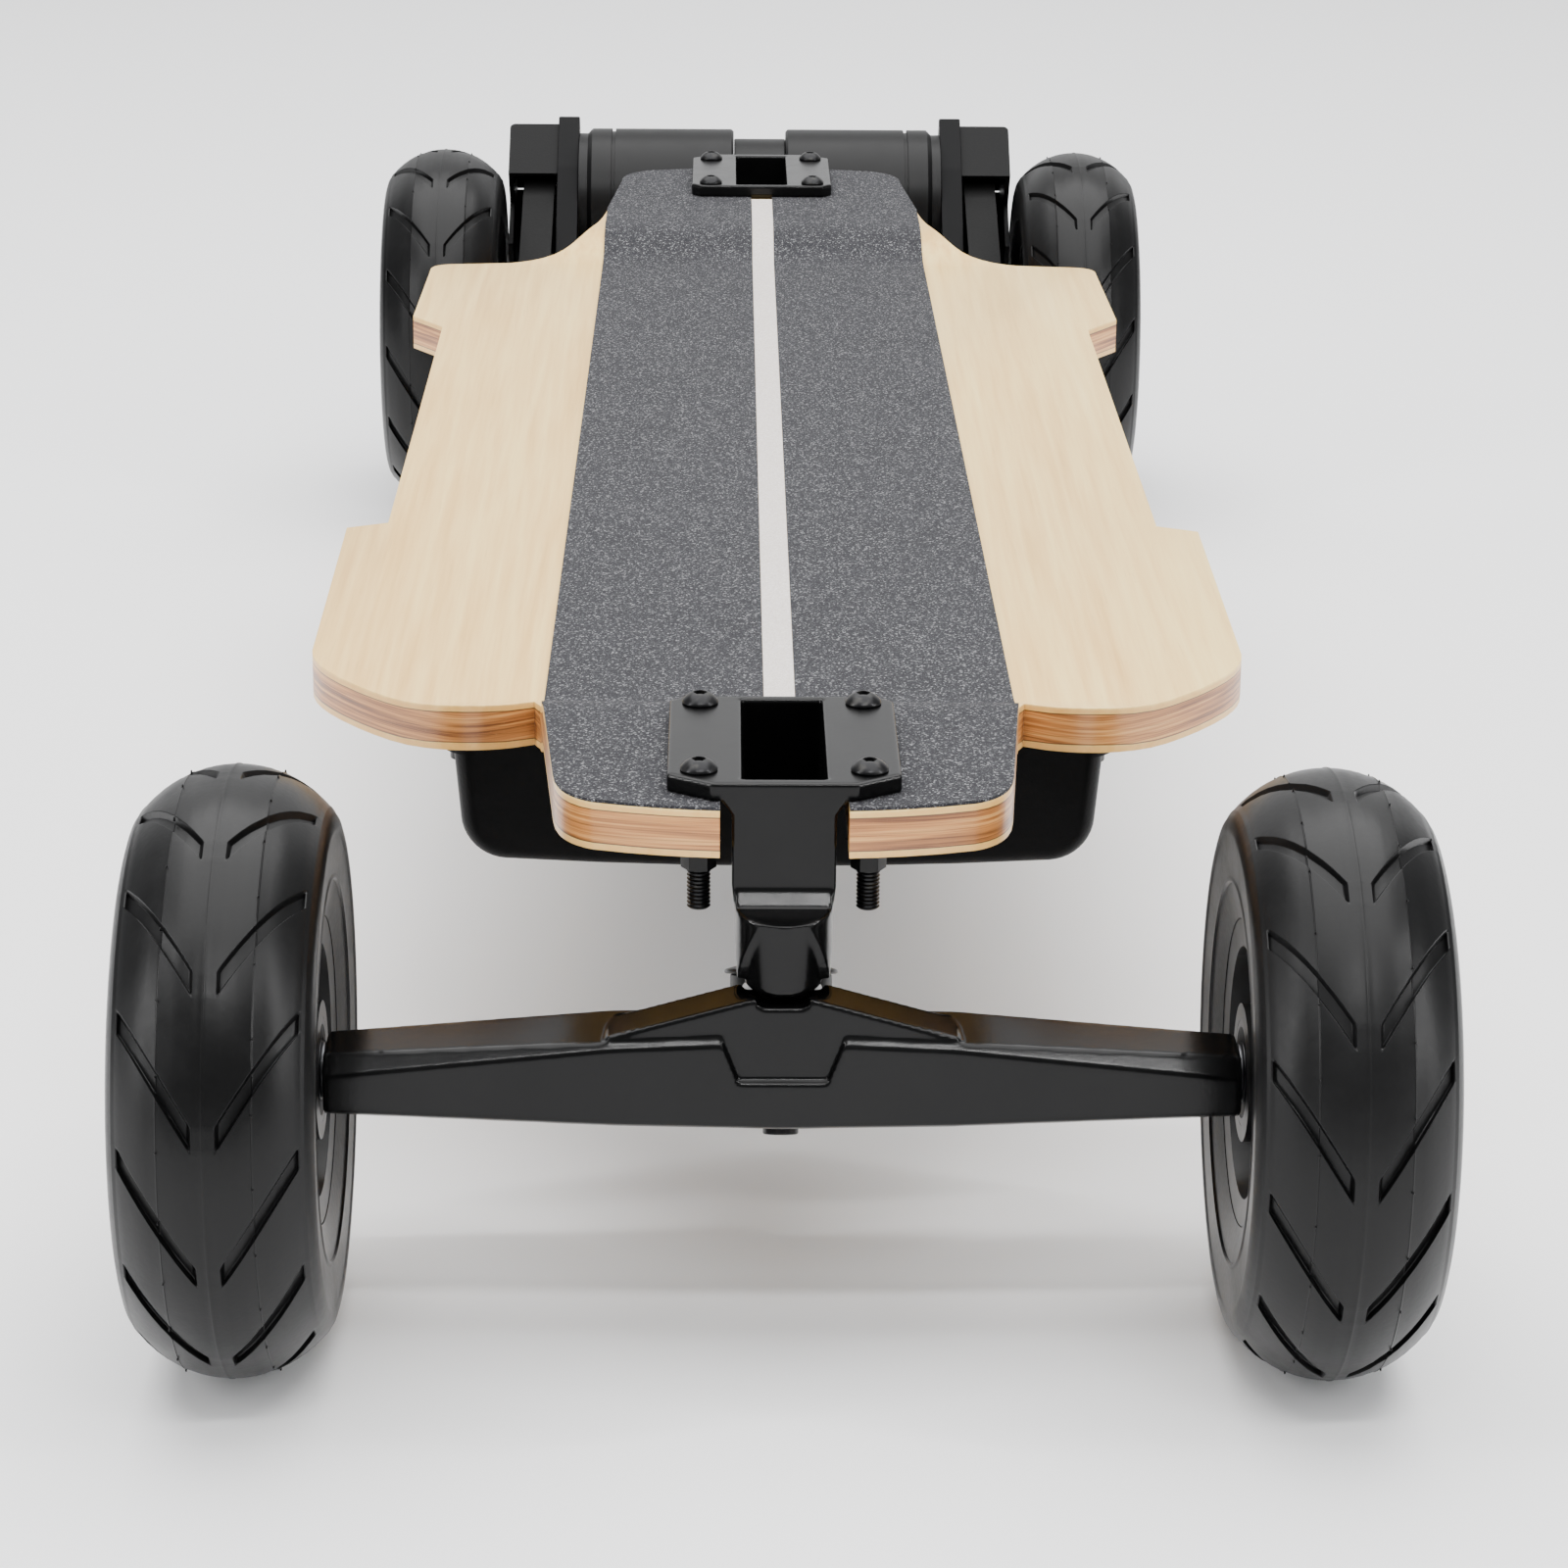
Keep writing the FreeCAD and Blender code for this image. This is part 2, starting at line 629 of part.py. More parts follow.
def hub_faces():
    """Distances from the board's middle line to a wheel hub's inner and outer face."""
    return dim("half_track") - dim("hub_inner"), dim("half_track") + dim("hub_outer")


def tube_ring(outer, bore, low, length):
    """A ring about the axle from low to low + length along X."""
    at = (low, 0, "dims.axle_height")
    return cut(cylinder(outer, length, at, ACROSS),
               cylinder(bore, length + 4, (low - 2, 0, "dims.axle_height"), ACROSS))


def make_axle(end):
    inner, outer = hub_faces()
    half = outer + 11.2
    rod = cylinder("dims.axle_radius", 2 * half, (-half, 0, "dims.axle_height"), ACROSS)
    name_subpart(rod, end + "_axle", TRUCKS[end])
    bore = "dims.axle_radius + dims.shaft_gap"
    width = dim("bearing_width")
    arm_end = dim("front_arm_end") if end == "front" else dim("spigot_end")
    spacers = []
    nuts = []
    for way in (-1, 1):
        for low, high, radius in ((arm_end + 0.05, inner - 0.1, 6.9),
                                  (inner + width + 0.15, outer - width - 0.15, 6.9),
                                  (outer + 0.1, outer + 1.6, 8.5)):
            start = low if way > 0 else -high
            spacers.append(tube_ring(radius, bore, start, high - low))
        low, high = outer + 1.7, outer + 10.2
        start = low if way > 0 else -high
        nut = hexagon(9.2, high - low, (start, 0, "dims.axle_height"), ACROSS)
        hole = cylinder(bore, 30, (start - 5, 0, "dims.axle_height"), ACROSS)
        nuts.append(cut(nut, hole))
    name_subpart(group(*spacers), end + "_axle_spacers", TRUCKS[end])
    name_subpart(group(*nuts), end + "_axle_nuts", TRUCKS[end])


# ---------------------------------------------------------------- wheels

CROWN_RADIUS = 28.4
WHEELS = {}
for end_name, axle_y in (("front", FRONT_Y), ("rear", REAR_Y)):
    WHEELS[end_name + "_left"] = Placement(Vector(-dim("half_track"), axle_y, AXLE_Z), TURN_BACK)
    WHEELS[end_name + "_right"] = Placement(Vector(dim("half_track"), axle_y, AXLE_Z), Rotation())


def tyre_section():
    """Closed section in XZ: crowned tread, rounded shoulders, tapering walls and bead feet."""
    radius = dim("tyre_radius")
    half = dim("tyre_half")
    bead = dim("bead_radius") + 0.05
    shoulder = half - 1.2
    shoulder_z = radius - CROWN_RADIUS + math.sqrt(CROWN_RADIUS ** 2 - shoulder ** 2)
    outer = [Vector(-shoulder, shoulder_z, 0), Vector(0, radius, 0), Vector(shoulder, shoulder_z, 0)]
    wall = [(half, 58.6), (23.6, 51.0), (22.4, 44.0), (21.2, 39.4), (20.8, 37.8), (18.95, 37.8),
            (18.95, bead), (14.6, bead), (14.4, bead + 3.6), (18.3, 46.0), (19.8, 53.0), (18.8, 60.0)]
    right = [Vector(x, z, 0) for x, z in wall]
    left = [Vector(-x, z, 0) for x, z in reversed(wall)]
    crown_inside = Part.Arc(right[-1], Vector(0, radius - 5.5, 0), left[0])
    edges = [Part.Arc(*outer)]
    chain = [outer[2]] + right
    edges += [Part.LineSegment(a, b) for a, b in zip(chain, chain[1:])]
    edges.append(crown_inside)
    chain = left + [outer[0]]
    edges += [Part.LineSegment(a, b) for a, b in zip(chain, chain[1:])]
    return edges


def make_tyre(name):
    body = doc.addObject("PartDesign::Body", "body")
    sketch = sketch_in(body, "XZ_Plane")
    for edge in tyre_section():
        sketch.addGeometry(edge, False)
    for index in range(sketch.GeometryCount):
        sketch.addConstraint(Sketcher.Constraint("Block", index))
    revolution = body.newObject("PartDesign::Revolution", "revolution")
    revolution.Profile = sketch
    revolution.ReferenceAxis = (sketch, ["H_Axis"])
    revolution.Angle = 360.0
    body.Tip = revolution
    name_subpart(body, name + "_tyre", WHEELS[name])


VALVE_TURN = Rotation(Vector(1, 0, 0), 36)


def make_inner_tube(name):
    """Hollow rubber tube with its valve stem, which comes in through the rim."""
    middle = 51.8
    shell = cut(ring(middle, 17.0, turn=ACROSS), ring(middle, 15.6, turn=ACROSS))
    stem_foot = VALVE_TURN.multVec(Vector(0, 0, 22))
    stem = cylinder(2.6, 14, (stem_foot.x, stem_foot.y, stem_foot.z), VALVE_TURN)
    name_subpart(fuse(shell, stem), name + "_inner_tube", WHEELS[name])


RIM_SECTION = [(-20.0, 31.0), ("-dims.rim_half - 0.6", 37.6), ("-dims.rim_half + 0.9", 37.6),
               ("-dims.rim_half + 0.9", "dims.bead_radius"), ("dims.rim_half - 0.9", "dims.bead_radius"),
               ("dims.rim_half - 0.9", 37.6), ("dims.rim_half + 0.6", 37.6), (20.0, 31.0),
               (12.0, 29.6), (-12.0, 29.6)]
SPOKE = [(-4.2, 14.5), (-3.6, 20.5), (-13.2, 27.6), (-9.4, 31.0), (0.0, 24.4), (9.4, 31.0),
         (13.2, 27.6), (3.6, 20.5), (4.2, 14.5)]


def make_rim(name):
    """Cast rim: barrel, hub with two bearing seats, five Y spokes."""
    barrel = turned(RIM_SECTION)
    hub = cylinder(17.0, "dims.hub_inner + dims.hub_outer", ("-dims.hub_inner", 0, 0), ACROSS)
    spokes = [padded("YZ_Plane", SPOKE, 15.0, turn=Rotation(Vector(1, 0, 0), 72 * index))
              for index in range(5)]
    width = "dims.bearing_width + 0.05"
    fit = "dims.bearing_radius + 0.02"
    inner_seat = cylinder(fit, width, ("-dims.hub_inner", 0, 0), ACROSS)
    outer_seat = cylinder(fit, width, ("dims.hub_outer - dims.bearing_width - 0.05", 0, 0), ACROSS)
    through = cylinder(8.2, 60, (-30, 0, 0), ACROSS)
    foot = VALVE_TURN.multVec(Vector(0, 0, 24))
    valve_hole = cylinder(2.9, 16, (foot.x, foot.y, foot.z), VALVE_TURN)
    rim = cut(fuse(barrel, hub, *spokes), inner_seat, outer_seat, through, valve_hole)
    name_subpart(rim, name + "_rim", WHEELS[name])


def make_bearings(name):
    bearings = []
    for low in (-dim("hub_inner"), dim("hub_outer") - dim("bearing_width")):
        race = cylinder("dims.bearing_radius", "dims.bearing_width", (low, 0, 0), ACROSS)
        bore = cylinder("dims.axle_radius + dims.shaft_gap", 20, (low - 5, 0, 0), ACROSS)
        grooves = [cut(cylinder(11.2, 2, (low + face, 0, 0), ACROSS),
                       cylinder(7.4, 6, (low + face - 2, 0, 0), ACROSS))
                   for face in (-1.4, dim("bearing_width") - 0.6)]
        bearings.append(cut(race, bore, *grooves))
    name_subpart(group(*bearings), name + "_bearings", WHEELS[name])


# ---------------------------------------------------------------- drive

def toothed_pulley(teeth, low, bore, label, placement):
    """Round-grooved belt pulley about X, with one groove for each tooth of the belt."""
    width = dim("pulley_width")
    tip = dim("tooth_pitch") * teeth / (2 * math.pi) - 0.57
    blank = Part.makeCylinder(tip, width, Vector(low, 0, 0), Vector(1, 0, 0))
    grooves = []
    for index in range(int(teeth)):
        angle = 2 * math.pi * index / teeth
        centre = Vector(low - 1, (tip - 0.5) * math.sin(angle), (tip - 0.5) * math.cos(angle))
        grooves.append(Part.makeCylinder(1.5, width + 2, centre, Vector(1, 0, 0)))
    hole = Part.makeCylinder(bore, width + 2, Vector(low - 1, 0, 0), Vector(1, 0, 0))
    shape = blank.cut(grooves + [hole])
    if label.startswith("rear"):
        reach = -dim("hub_inner") - 0.05 - (low + width - 0.5)
        collar = Part.makeCylinder(16.5, reach, Vector(low + width - 0.5, 0, 0), Vector(1, 0, 0))
        inner = Part.makeCylinder(bore, reach + 4, Vector(low + width - 2, 0, 0), Vector(1, 0, 0))
        shape = shape.fuse(collar.cut(inner)).removeSplitter()
    name_subpart(solid(shape, "pulley"), label, placement)


def at_motor(way):
    """The motor's axis in the rear truck's frame, for pieces drawn about it with +X outboard."""
    turn = Rotation() if way > 0 else TURN_BACK
    spot = Placement(Vector(0, -dim("motor_back"), dim("motor_height")), turn)
    return TRUCKS["rear"].multiply(spot)


def make_motor(side, way):
    place_here = at_motor(way)
    radius = dim("motor_radius")
    inner = dim("motor_inner")
    outer = dim("motor_outer")
    shell = [(inner, 6.5), (inner, radius - 1.0), (inner + 1.0, radius), (62.2, radius), (62.2, radius - 1.2),
             (63.8, radius - 1.2), (63.8, radius), (outer - 1.8, radius), (outer, radius - 1.8),
             (outer, 29.4), (77.8, 29.4), (77.8, 6.5), (71.5, 6.5), (71.5, radius - 2.5),
             (inner + 3.0, radius - 2.5), (inner + 3.0, 6.5)]
    name_subpart(turned(shell), side + "_motor_case", place_here)
    rotor = [(11.4, 0.0), (11.4, 5.0), (16.0, 5.0), (16.0, radius - 3.4), (69.0, radius - 3.4),
             (69.0, 5.0), (103.0, 5.0), (103.0, 0.0)]
    name_subpart(turned(rotor), side + "_motor_rotor", place_here)
    toothed_pulley(dim("motor_teeth"), dim("pulley_inner"), dim("axle_radius") + 0.02,
                   side + "_motor_pulley", place_here)


def hull_plate(radius_axle, radius_motor, low, width):
    """A plate about the axle and the motor's axis with tangent sides, in the truck's frame."""
    reach = Vector(0, -dim("motor_back"), dim("motor_height") - AXLE_Z)
    spread = reach.Length
    heading = math.atan2(reach.z, reach.y)
    lean = math.acos((radius_axle - radius_motor) / spread)
    corners = []
    for angle in (heading + lean, heading - lean):
        across = Vector(0, math.cos(angle), math.sin(angle))
        corners.append((across * radius_axle, reach + across * radius_motor))
    (a, b), (d, c) = corners
    base = Vector(low, 0, AXLE_Z)
    face = Part.Face(Part.makePolygon([base + p for p in (a, b, c, d, a)]))
    quad = face.extrude(Vector(width, 0, 0))
    discs = [Part.makeCylinder(radius_axle, width, base, Vector(1, 0, 0)),
             Part.makeCylinder(radius_motor, width, base + reach, Vector(1, 0, 0))]
    return quad.fuse(discs).removeSplitter()


def across_span(way, inner, width):
    """The low end along X of a piece from inner to inner + width on one side of the board."""
    return inner if way > 0 else -inner - width


def drive_frame(low):
    """A frame on the motor's axis whose Z runs on from the wheel's axle, and whose Y faces forwards."""
    reach = Vector(0, -dim("motor_back"), dim("motor_height") - AXLE_Z)
    return Placement(Vector(low, 0, AXLE_Z) + reach, Rotation(Vector(0, 0, 1), reach))


def drive_block(low, width, across, along):
    """A box in the drive's frame, from across[0] to across[1] and along[0] to along[1]."""
    shape = Part.makeBox(width, across[1] - across[0], along[1] - along[0], Vector(0, across[0], along[0]))
    return shape.transformGeometry(drive_frame(low).toMatrix())


def make_clamp_plate(side, way):
    thick = dim("clamp_thickness")
    low = across_span(way, dim("clamp_inner"), thick)
    plate = hull_plate(17.0, 24.0, low, thick)
    motor = Vector(low, -dim("motor_back"), dim("motor_height"))
    rise = 27.8
    crown = drive_block(low, thick, (-20.0, 24.0), (0.0, rise))
    lean = Part.makeBox(thick + 2, 12.0, 12.0, Vector(-1, -6, -6))
    lean.rotate(Vector(), Vector(1, 0, 0), 45)
    lean.transformShape(drive_frame(low).multiply(Placement(Vector(0, -20.0, rise), Rotation())).toMatrix())
    crown = crown.cut(lean)
    bores = [Part.makeCylinder(dim("spigot_radius") + 0.03, 40, Vector(low - 10, 0, AXLE_Z), Vector(1, 0, 0)),
             Part.makeCylinder(12.0, 40, motor - Vector(10, 0, 0), Vector(1, 0, 0))]
    shape = plate.fuse(crown).removeSplitter().cut(bores)
    name_subpart(solid(shape, "clamp_plate"), side + "_motor_mount", TRUCKS["rear"])


def belt_radii():
    per_tooth = dim("tooth_pitch") / (2 * math.pi)
    gap = dim("belt_gap") - 0.57
    return per_tooth * dim("wheel_teeth") + gap, per_tooth * dim("motor_teeth") + gap


def make_belt(side, way):
    wheel_radius, motor_radius = belt_radii()
    thick = dim("belt_thickness")
    width = dim("pulley_width") - 0.6
    low = across_span(way, dim("pulley_inner") + 0.3, width)
    outer = hull_plate(wheel_radius + thick, motor_radius + thick, low, width)
    inner = hull_plate(wheel_radius, motor_radius, low - 1, width + 2)
    name_subpart(solid(outer.cut(inner), "belt"), side + "_belt", TRUCKS["rear"])


def make_pulley_cover(side, way):
    """Moulded hood over the motor pulley; its back runs on round the belt, its front stops short."""
    start = dim("clamp_inner") + dim("clamp_thickness") + 0.1
    width = dim("cover_outer") - start
    low = across_span(way, start, width)
    wall = 1.9
    half = 21.0
    rise = 25.9
    front_end = -2.6
    low_end = -12.0
    back_end = -26.0
    hood = Part.makeBox(width, 2 * half, rise - low_end, Vector(0, -half, low_end))
    top_back = [e for e in hood.Edges if e.BoundBox.ZMin > rise - 1 and e.BoundBox.YMax < -half + 1]
    hood = hood.makeFillet(7.0, top_back)
    outer_x = width if way > 0 else 0.0
    outer_top = [e for e in hood.Edges if e.BoundBox.ZMin > rise - 9 and abs(e.BoundBox.XMin - outer_x) < 0.1
                 and e.BoundBox.XLength < 0.1 and e.BoundBox.YMin < half - 1]
    hood = hood.makeFillet(2.4, outer_top)
    hood.transformShape(drive_frame(low).toMatrix())
    wheel_radius, motor_radius = belt_radii()
    back = hull_plate(wheel_radius + 4.5 + wall, motor_radius + 4.5 + wall, low, width)
    back = back.common(drive_block(low, width, (-60.0, 60.0), (back_end, 8.0)))
    room_low = low - 4 if way > 0 else low + wall
    hollow = drive_block(room_low, width + 4 - wall, (-half + wall, half - wall), (low_end, rise - wall))
    belt_room = hull_plate(wheel_radius + 4.5, motor_radius + 4.5, room_low, width + 4 - wall)
    open_front = drive_block(low - 2, width + 4, (2.0, 60.0), (-60.0, front_end))
    shape = hood.fuse(back).cut([hollow, belt_room, open_front])
    name_subpart(solid(shape, "hood"), side + "_pulley_cover", TRUCKS["rear"])


def make_motor_sleeve():
    half = dim("motor_inner") - 0.2
    wall = [(-half, 24.4), (-half, 27.4), (half, 27.4), (half, 24.4)]
    name_subpart(turned(wall), "motor_sleeve", at_motor(1))


# ---------------------------------------------------------------- enclosure

def case_section(inset):
    """Half-rounded tray section in XZ, drawn below the platform."""
    half = dim("case_half") - inset
    top = dim("platform_top") - dim("deck_thickness") - 0.1
    low = dim("case_bottom") + inset
    corner = Vector(half - 14.0, low + 2.0, 0)
    right = [Vector(half, top, 0), Vector(half - 2.0, low + 14.0, 0), corner]
    left = [Vector(-point.x, point.y, 0) for point in right]
    bend = (right[1] + right[2]) * 0.5 + Vector(2.6, -2.0, 0)
    bend_left = Vector(-bend.x, bend.y, 0)
    return [Part.LineSegment(left[0], right[0]), Part.LineSegment(right[0], right[1]),
            Part.Arc(right[1], bend, right[2]), Part.Arc(right[2], Vector(0, low, 0), left[2]),
            Part.Arc(left[2], bend_left, left[1]), Part.LineSegment(left[1], left[0])]


def tray(inset, front, back):
    """The tray's section run along Y between two places in the board's frame."""
    wire = Part.Wire([edge.toShape() for edge in case_section(inset)])
    upright = wire.copy()
    upright.rotate(Vector(), Vector(1, 0, 0), 90)
    upright.translate(Vector(0, front, 0))
    return Part.Face(upright).extrude(Vector(0, back - front, 0))


PORT_Y = 382.0
BUTTON_Y = 282.0


def make_enclosure():
    front = FRONT_Y + dim("case_front")
    back = FRONT_Y + dim("case_back")
    wall = dim("case_wall")
    top = dim("platform_top") - dim("deck_thickness")
    outside = tray(0, front, back)
    ends = [e for e in outside.Edges if e.BoundBox.YLength < 0.01 and e.BoundBox.ZMax < top - 1]
    outside = outside.makeFillet(5.0, ends)
    inside = tray(wall, front + wall, back - wall)
    inside.translate(Vector(0, 0, 0.3))
    lid_room = Part.makeBox(2 * (dim("case_half") - wall - 0.5), back - front - 2 * wall, 20,
                            Vector(-dim("case_half") + wall + 0.5, front + wall, top - 10))
    rim = Part.makeBox(2 * dim("case_half") + 5, back - front + 5, 3.8,
                       Vector(-dim("case_half") - 2.5, front - 2.5, top - 3.9))
    rim = rim.makeFillet(9.0, [e for e in rim.Edges if e.BoundBox.ZLength > 3])
    lugs = [Part.makeCylinder(5.0, 8, Vector(x, y, top - 8.1)) for x, y in case_screw_places()]
    holes = [Part.makeCylinder(2.1, 30, Vector(x, y, top - 20)) for x, y in case_screw_places()]
    heads = [Part.makeCylinder(4.0, 20, Vector(x, y, top - 28.5)) for x, y in case_screw_places()]
    side_x = dim("case_half") - 0.4
    middle_z = top - 14.0
    port_hole = Part.makeCylinder(6.6, 20, Vector(side_x - 12, FRONT_Y + PORT_Y, middle_z), Vector(1, 0, 0))
    button_hole = Part.makeCylinder(6.4, 20, Vector(side_x - 12, FRONT_Y + BUTTON_Y, middle_z),
                                    Vector(1, 0, 0))
    glands = []
    for x in (-14.0, 14.0):
        spot = Vector(x, back - 4, top - 16)
        glands.append(Part.makeCylinder(6.0, 12, spot, Vector(0, 1, 0)))
    gland_bores = [Part.makeCylinder(3.5, 30, Vector(x, back - 12, top - 16), Vector(0, 1, 0))
                   for x in (-14.0, 14.0)]
    shape = outside.fuse([rim] + lugs).cut([inside, lid_room]).fuse(lugs)
    shape = shape.fuse(glands).cut(holes + heads + [port_hole, button_hole] + gland_bores).removeSplitter()
    name_subpart(solid(shape, "tray"), "enclosure_shell")

    screws = []
    for x, y in case_screw_places():
        head = cylinder(3.6, 3.0, (x, y, top - 11.6))
        shank = cylinder(1.5, 15, (x, y, top - 8.62))
        screws.append(fuse(head, shank))
    name_subpart(group(*screws), "enclosure_screws")

    floor = dim("case_bottom") + wall + 3.0
    name_subpart(block((-66, front + 12, floor), (66, front + 360, top - 4)), "battery_pack")
    board = block((-50, front + 385, floor), (50, front + 500, top - 8))
    fins = [block((-46 + 10 * i, front + 389, top - 14), (-42 + 10 * i, front + 496, top)) for i in range(10)]
    name_subpart(cut(board, *fins), "motor_controller")
    make_controls(side_x, middle_z)


def make_controls(side_x, middle_z):
    """Power button and charge socket with its hinged cap, on the enclosure's right wall."""
    along = FRONT_Y + BUTTON_Y
    button = fuse(cylinder(6.0, 7.2, (side_x - 5.7, along, middle_z), ACROSS),
                  cylinder(7.4, 1.2, (side_x - 6.6, along, middle_z), ACROSS))
    name_subpart(button, "power_button")
    along = FRONT_Y + PORT_Y
    barrel = cylinder(6.5, 10.0, (side_x - 10.5, along, middle_z), ACROSS)
    mouth = cut(cylinder(4.6, 8.0, (side_x - 7.0, along, middle_z), ACROSS),
                cylinder(1.4, 9.0, (side_x - 8.0, along, middle_z), ACROSS))
    name_subpart(cut(barrel, mouth), "charge_socket")
    disc = cylinder(8.6, 1.8, (side_x + 0.4, along, middle_z), ACROSS)
    hinge_pin = cylinder(1.3, 9.0, (side_x + 1.9, along - 9.4, middle_z - 4.5))
    tab = block((side_x + 0.6, along - 9.4, middle_z - 3.5), (side_x + 2.1, along - 6.5, middle_z + 3.5))
    name_subpart(fuse(disc, hinge_pin, tab), "charge_socket_cap")


# ---------------------------------------------------------------- build, check and write

def build_all():
    make_deck()
    for end in ("front", "rear"):
        make_baseplate(end)
        make_bushings(end)
        make_hanger(end)
        make_axle(end)
    make_deck_fasteners()
    both_trucks(kingpin, "kingpins")
    both_trucks(kingpin_nut, "kingpin_nuts")
    both_trucks(cup_washers, "cup_washers")
    both_trucks(pivot_cup, "pivot_cups")
    for name, placement in WHEELS.items():
        make_tyre(name)
        make_inner_tube(name)
        make_rim(name)
        make_bearings(name)
        if name.startswith("rear"):
            low = dim("pulley_inner") - dim("half_track")
            toothed_pulley(dim("wheel_teeth"), low, 7.3, name + "_wheel_pulley", placement)
    for side, way in (("left", 1), ("right", -1)):
        make_motor(side, way)
        make_clamp_plate(side, way)
        make_belt(side, way)
        make_pulley_cover(side, way)
    make_motor_sleeve()
    make_enclosure()


def check_all():
    doc.recompute()
    for item in doc.Objects:
        if "Invalid" in item.State or "Error" in item.State:
            raise RuntimeError(f"{item.Name} ({item.Label}) failed: {item.State}")
    for item in SUBPARTS:
        if item.Shape.isNull() or not item.Shape.isValid() or not item.Shape.Solids:
            raise RuntimeError(f"{item.Label} has no valid shape")


def write_all():
    os.makedirs("parts", exist_ok=True)
    for old in os.listdir("parts"):
        if old.endswith(".step"):
            os.remove(os.path.join("parts", old))
    for item in SUBPARTS:
        item.Shape.exportStep(f"parts/{item.Label}.step")
    box = FreeCAD.BoundBox()
    for item in SUBPARTS:
        box.add(item.Shape.BoundBox)
    print(len(SUBPARTS), "sub-parts; box", box)


build_all()
check_all()
write_all()
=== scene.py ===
"""Looks of the electric skateboard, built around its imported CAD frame.

Metres, +Z up, nose towards -Y. The castings are the CAD solids as one rounded skin, fasteners and covers
are the CAD solids with broken edges, and the tyres, their pips, bolt threads and seals are made here.
"""
import json
import math
import bmesh
import bpy
from mathutils import Matrix, Vector


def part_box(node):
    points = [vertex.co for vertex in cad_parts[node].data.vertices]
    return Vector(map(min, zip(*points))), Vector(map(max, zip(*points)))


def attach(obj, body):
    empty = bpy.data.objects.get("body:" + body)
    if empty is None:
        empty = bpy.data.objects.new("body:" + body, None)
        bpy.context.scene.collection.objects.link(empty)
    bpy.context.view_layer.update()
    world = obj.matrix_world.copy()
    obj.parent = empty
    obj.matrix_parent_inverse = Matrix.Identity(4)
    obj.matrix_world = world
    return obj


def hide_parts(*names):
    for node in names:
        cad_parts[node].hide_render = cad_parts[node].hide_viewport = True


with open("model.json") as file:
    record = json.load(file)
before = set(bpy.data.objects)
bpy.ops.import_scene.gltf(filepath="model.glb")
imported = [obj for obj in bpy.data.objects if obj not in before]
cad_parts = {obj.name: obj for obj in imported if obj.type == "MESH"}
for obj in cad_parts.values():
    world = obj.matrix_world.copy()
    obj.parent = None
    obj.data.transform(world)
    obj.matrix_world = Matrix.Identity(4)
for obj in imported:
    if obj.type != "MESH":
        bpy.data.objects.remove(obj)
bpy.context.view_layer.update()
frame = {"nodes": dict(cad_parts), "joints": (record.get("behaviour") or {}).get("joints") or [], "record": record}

MM = 0.001
SAME_PLACE = 2e-6
nodes = frame["nodes"]
joints = {joint["name"]: joint for joint in frame["joints"]}


# ---------------------------------------------------------------- camera, light and floor

def set_camera():
    """A long lens in front of the nose, looking down along the deck."""
    front_axle = Vector(joints["front_steer"]["pos_m"])
    eye = Vector((-0.014874, front_axle.y - 0.988987, 0.479865))
    yaw, pitch, roll = 0.014838, 0.322732, 0.008651
    ahead = Vector((math.sin(yaw) * math.cos(pitch), math.cos(yaw) * math.cos(pitch), -math.sin(pitch)))
    right = Vector((math.cos(yaw), -math.sin(yaw), 0.0))
    up = right.cross(ahead)
    tilted_right = math.cos(roll) * right + math.sin(roll) * up
    tilted_up = math.cos(roll) * up - math.sin(roll) * right
    data = bpy.data.cameras.new("camera")
    data.lens = 100.0
    data.sensor_width = 36.0
    data.clip_start = 0.05
    data.clip_end = 50.0
    camera = bpy.data.objects.new("camera", data)
    bpy.context.scene.collection.objects.link(camera)
    turn = Matrix((tilted_right, tilted_up, -ahead)).transposed().to_4x4()
    camera.matrix_world = Matrix.Translation(eye) @ turn
    bpy.context.scene.camera = camera


def softbox(name, at, aim, width, height, power):
    data = bpy.data.lights.new(name, "AREA")
    data.shape = "RECTANGLE"
    data.size = width
    data.size_y = height
    data.energy = power
    light = bpy.data.objects.new(name, data)
    bpy.context.scene.collection.objects.link(light)
    way = Vector(aim) - Vector(at)
    light.matrix_world = Matrix.Translation(Vector(at)) @ way.to_track_quat("-Z", "Y").to_matrix().to_4x4()


def set_light():
    softbox("top_softbox", (0.0, 0.3, 2.4), (0.0, 0.1, 0.0), 3.4, 3.4, 185.0)
    softbox("backdrop", (0.0, 3.6, 1.5), (0.0, 0.0, 0.2), 6.0, 2.6, 40.0)
    softbox("front_strip", (0.2, -1.9, 2.2), (0.0, -0.4, 0.08), 1.5, 0.06, 34.0)
    softbox("left_strip", (-1.6, -0.9, 0.9), (0.0, -0.4, 0.08), 0.06, 1.5, 22.0)
    softbox("right_strip", (1.6, -0.9, 0.9), (0.0, -0.4, 0.08), 0.06, 1.5, 22.0)
    world = bpy.data.worlds.new("studio")
    world.use_nodes = True
    world.node_tree.nodes["Background"].inputs["Color"].default_value = (0.97, 0.98, 1.0, 1.0)
    world.node_tree.nodes["Background"].inputs["Strength"].default_value = 0.42
    bpy.context.scene.world = world


# ---------------------------------------------------------------- shader maths

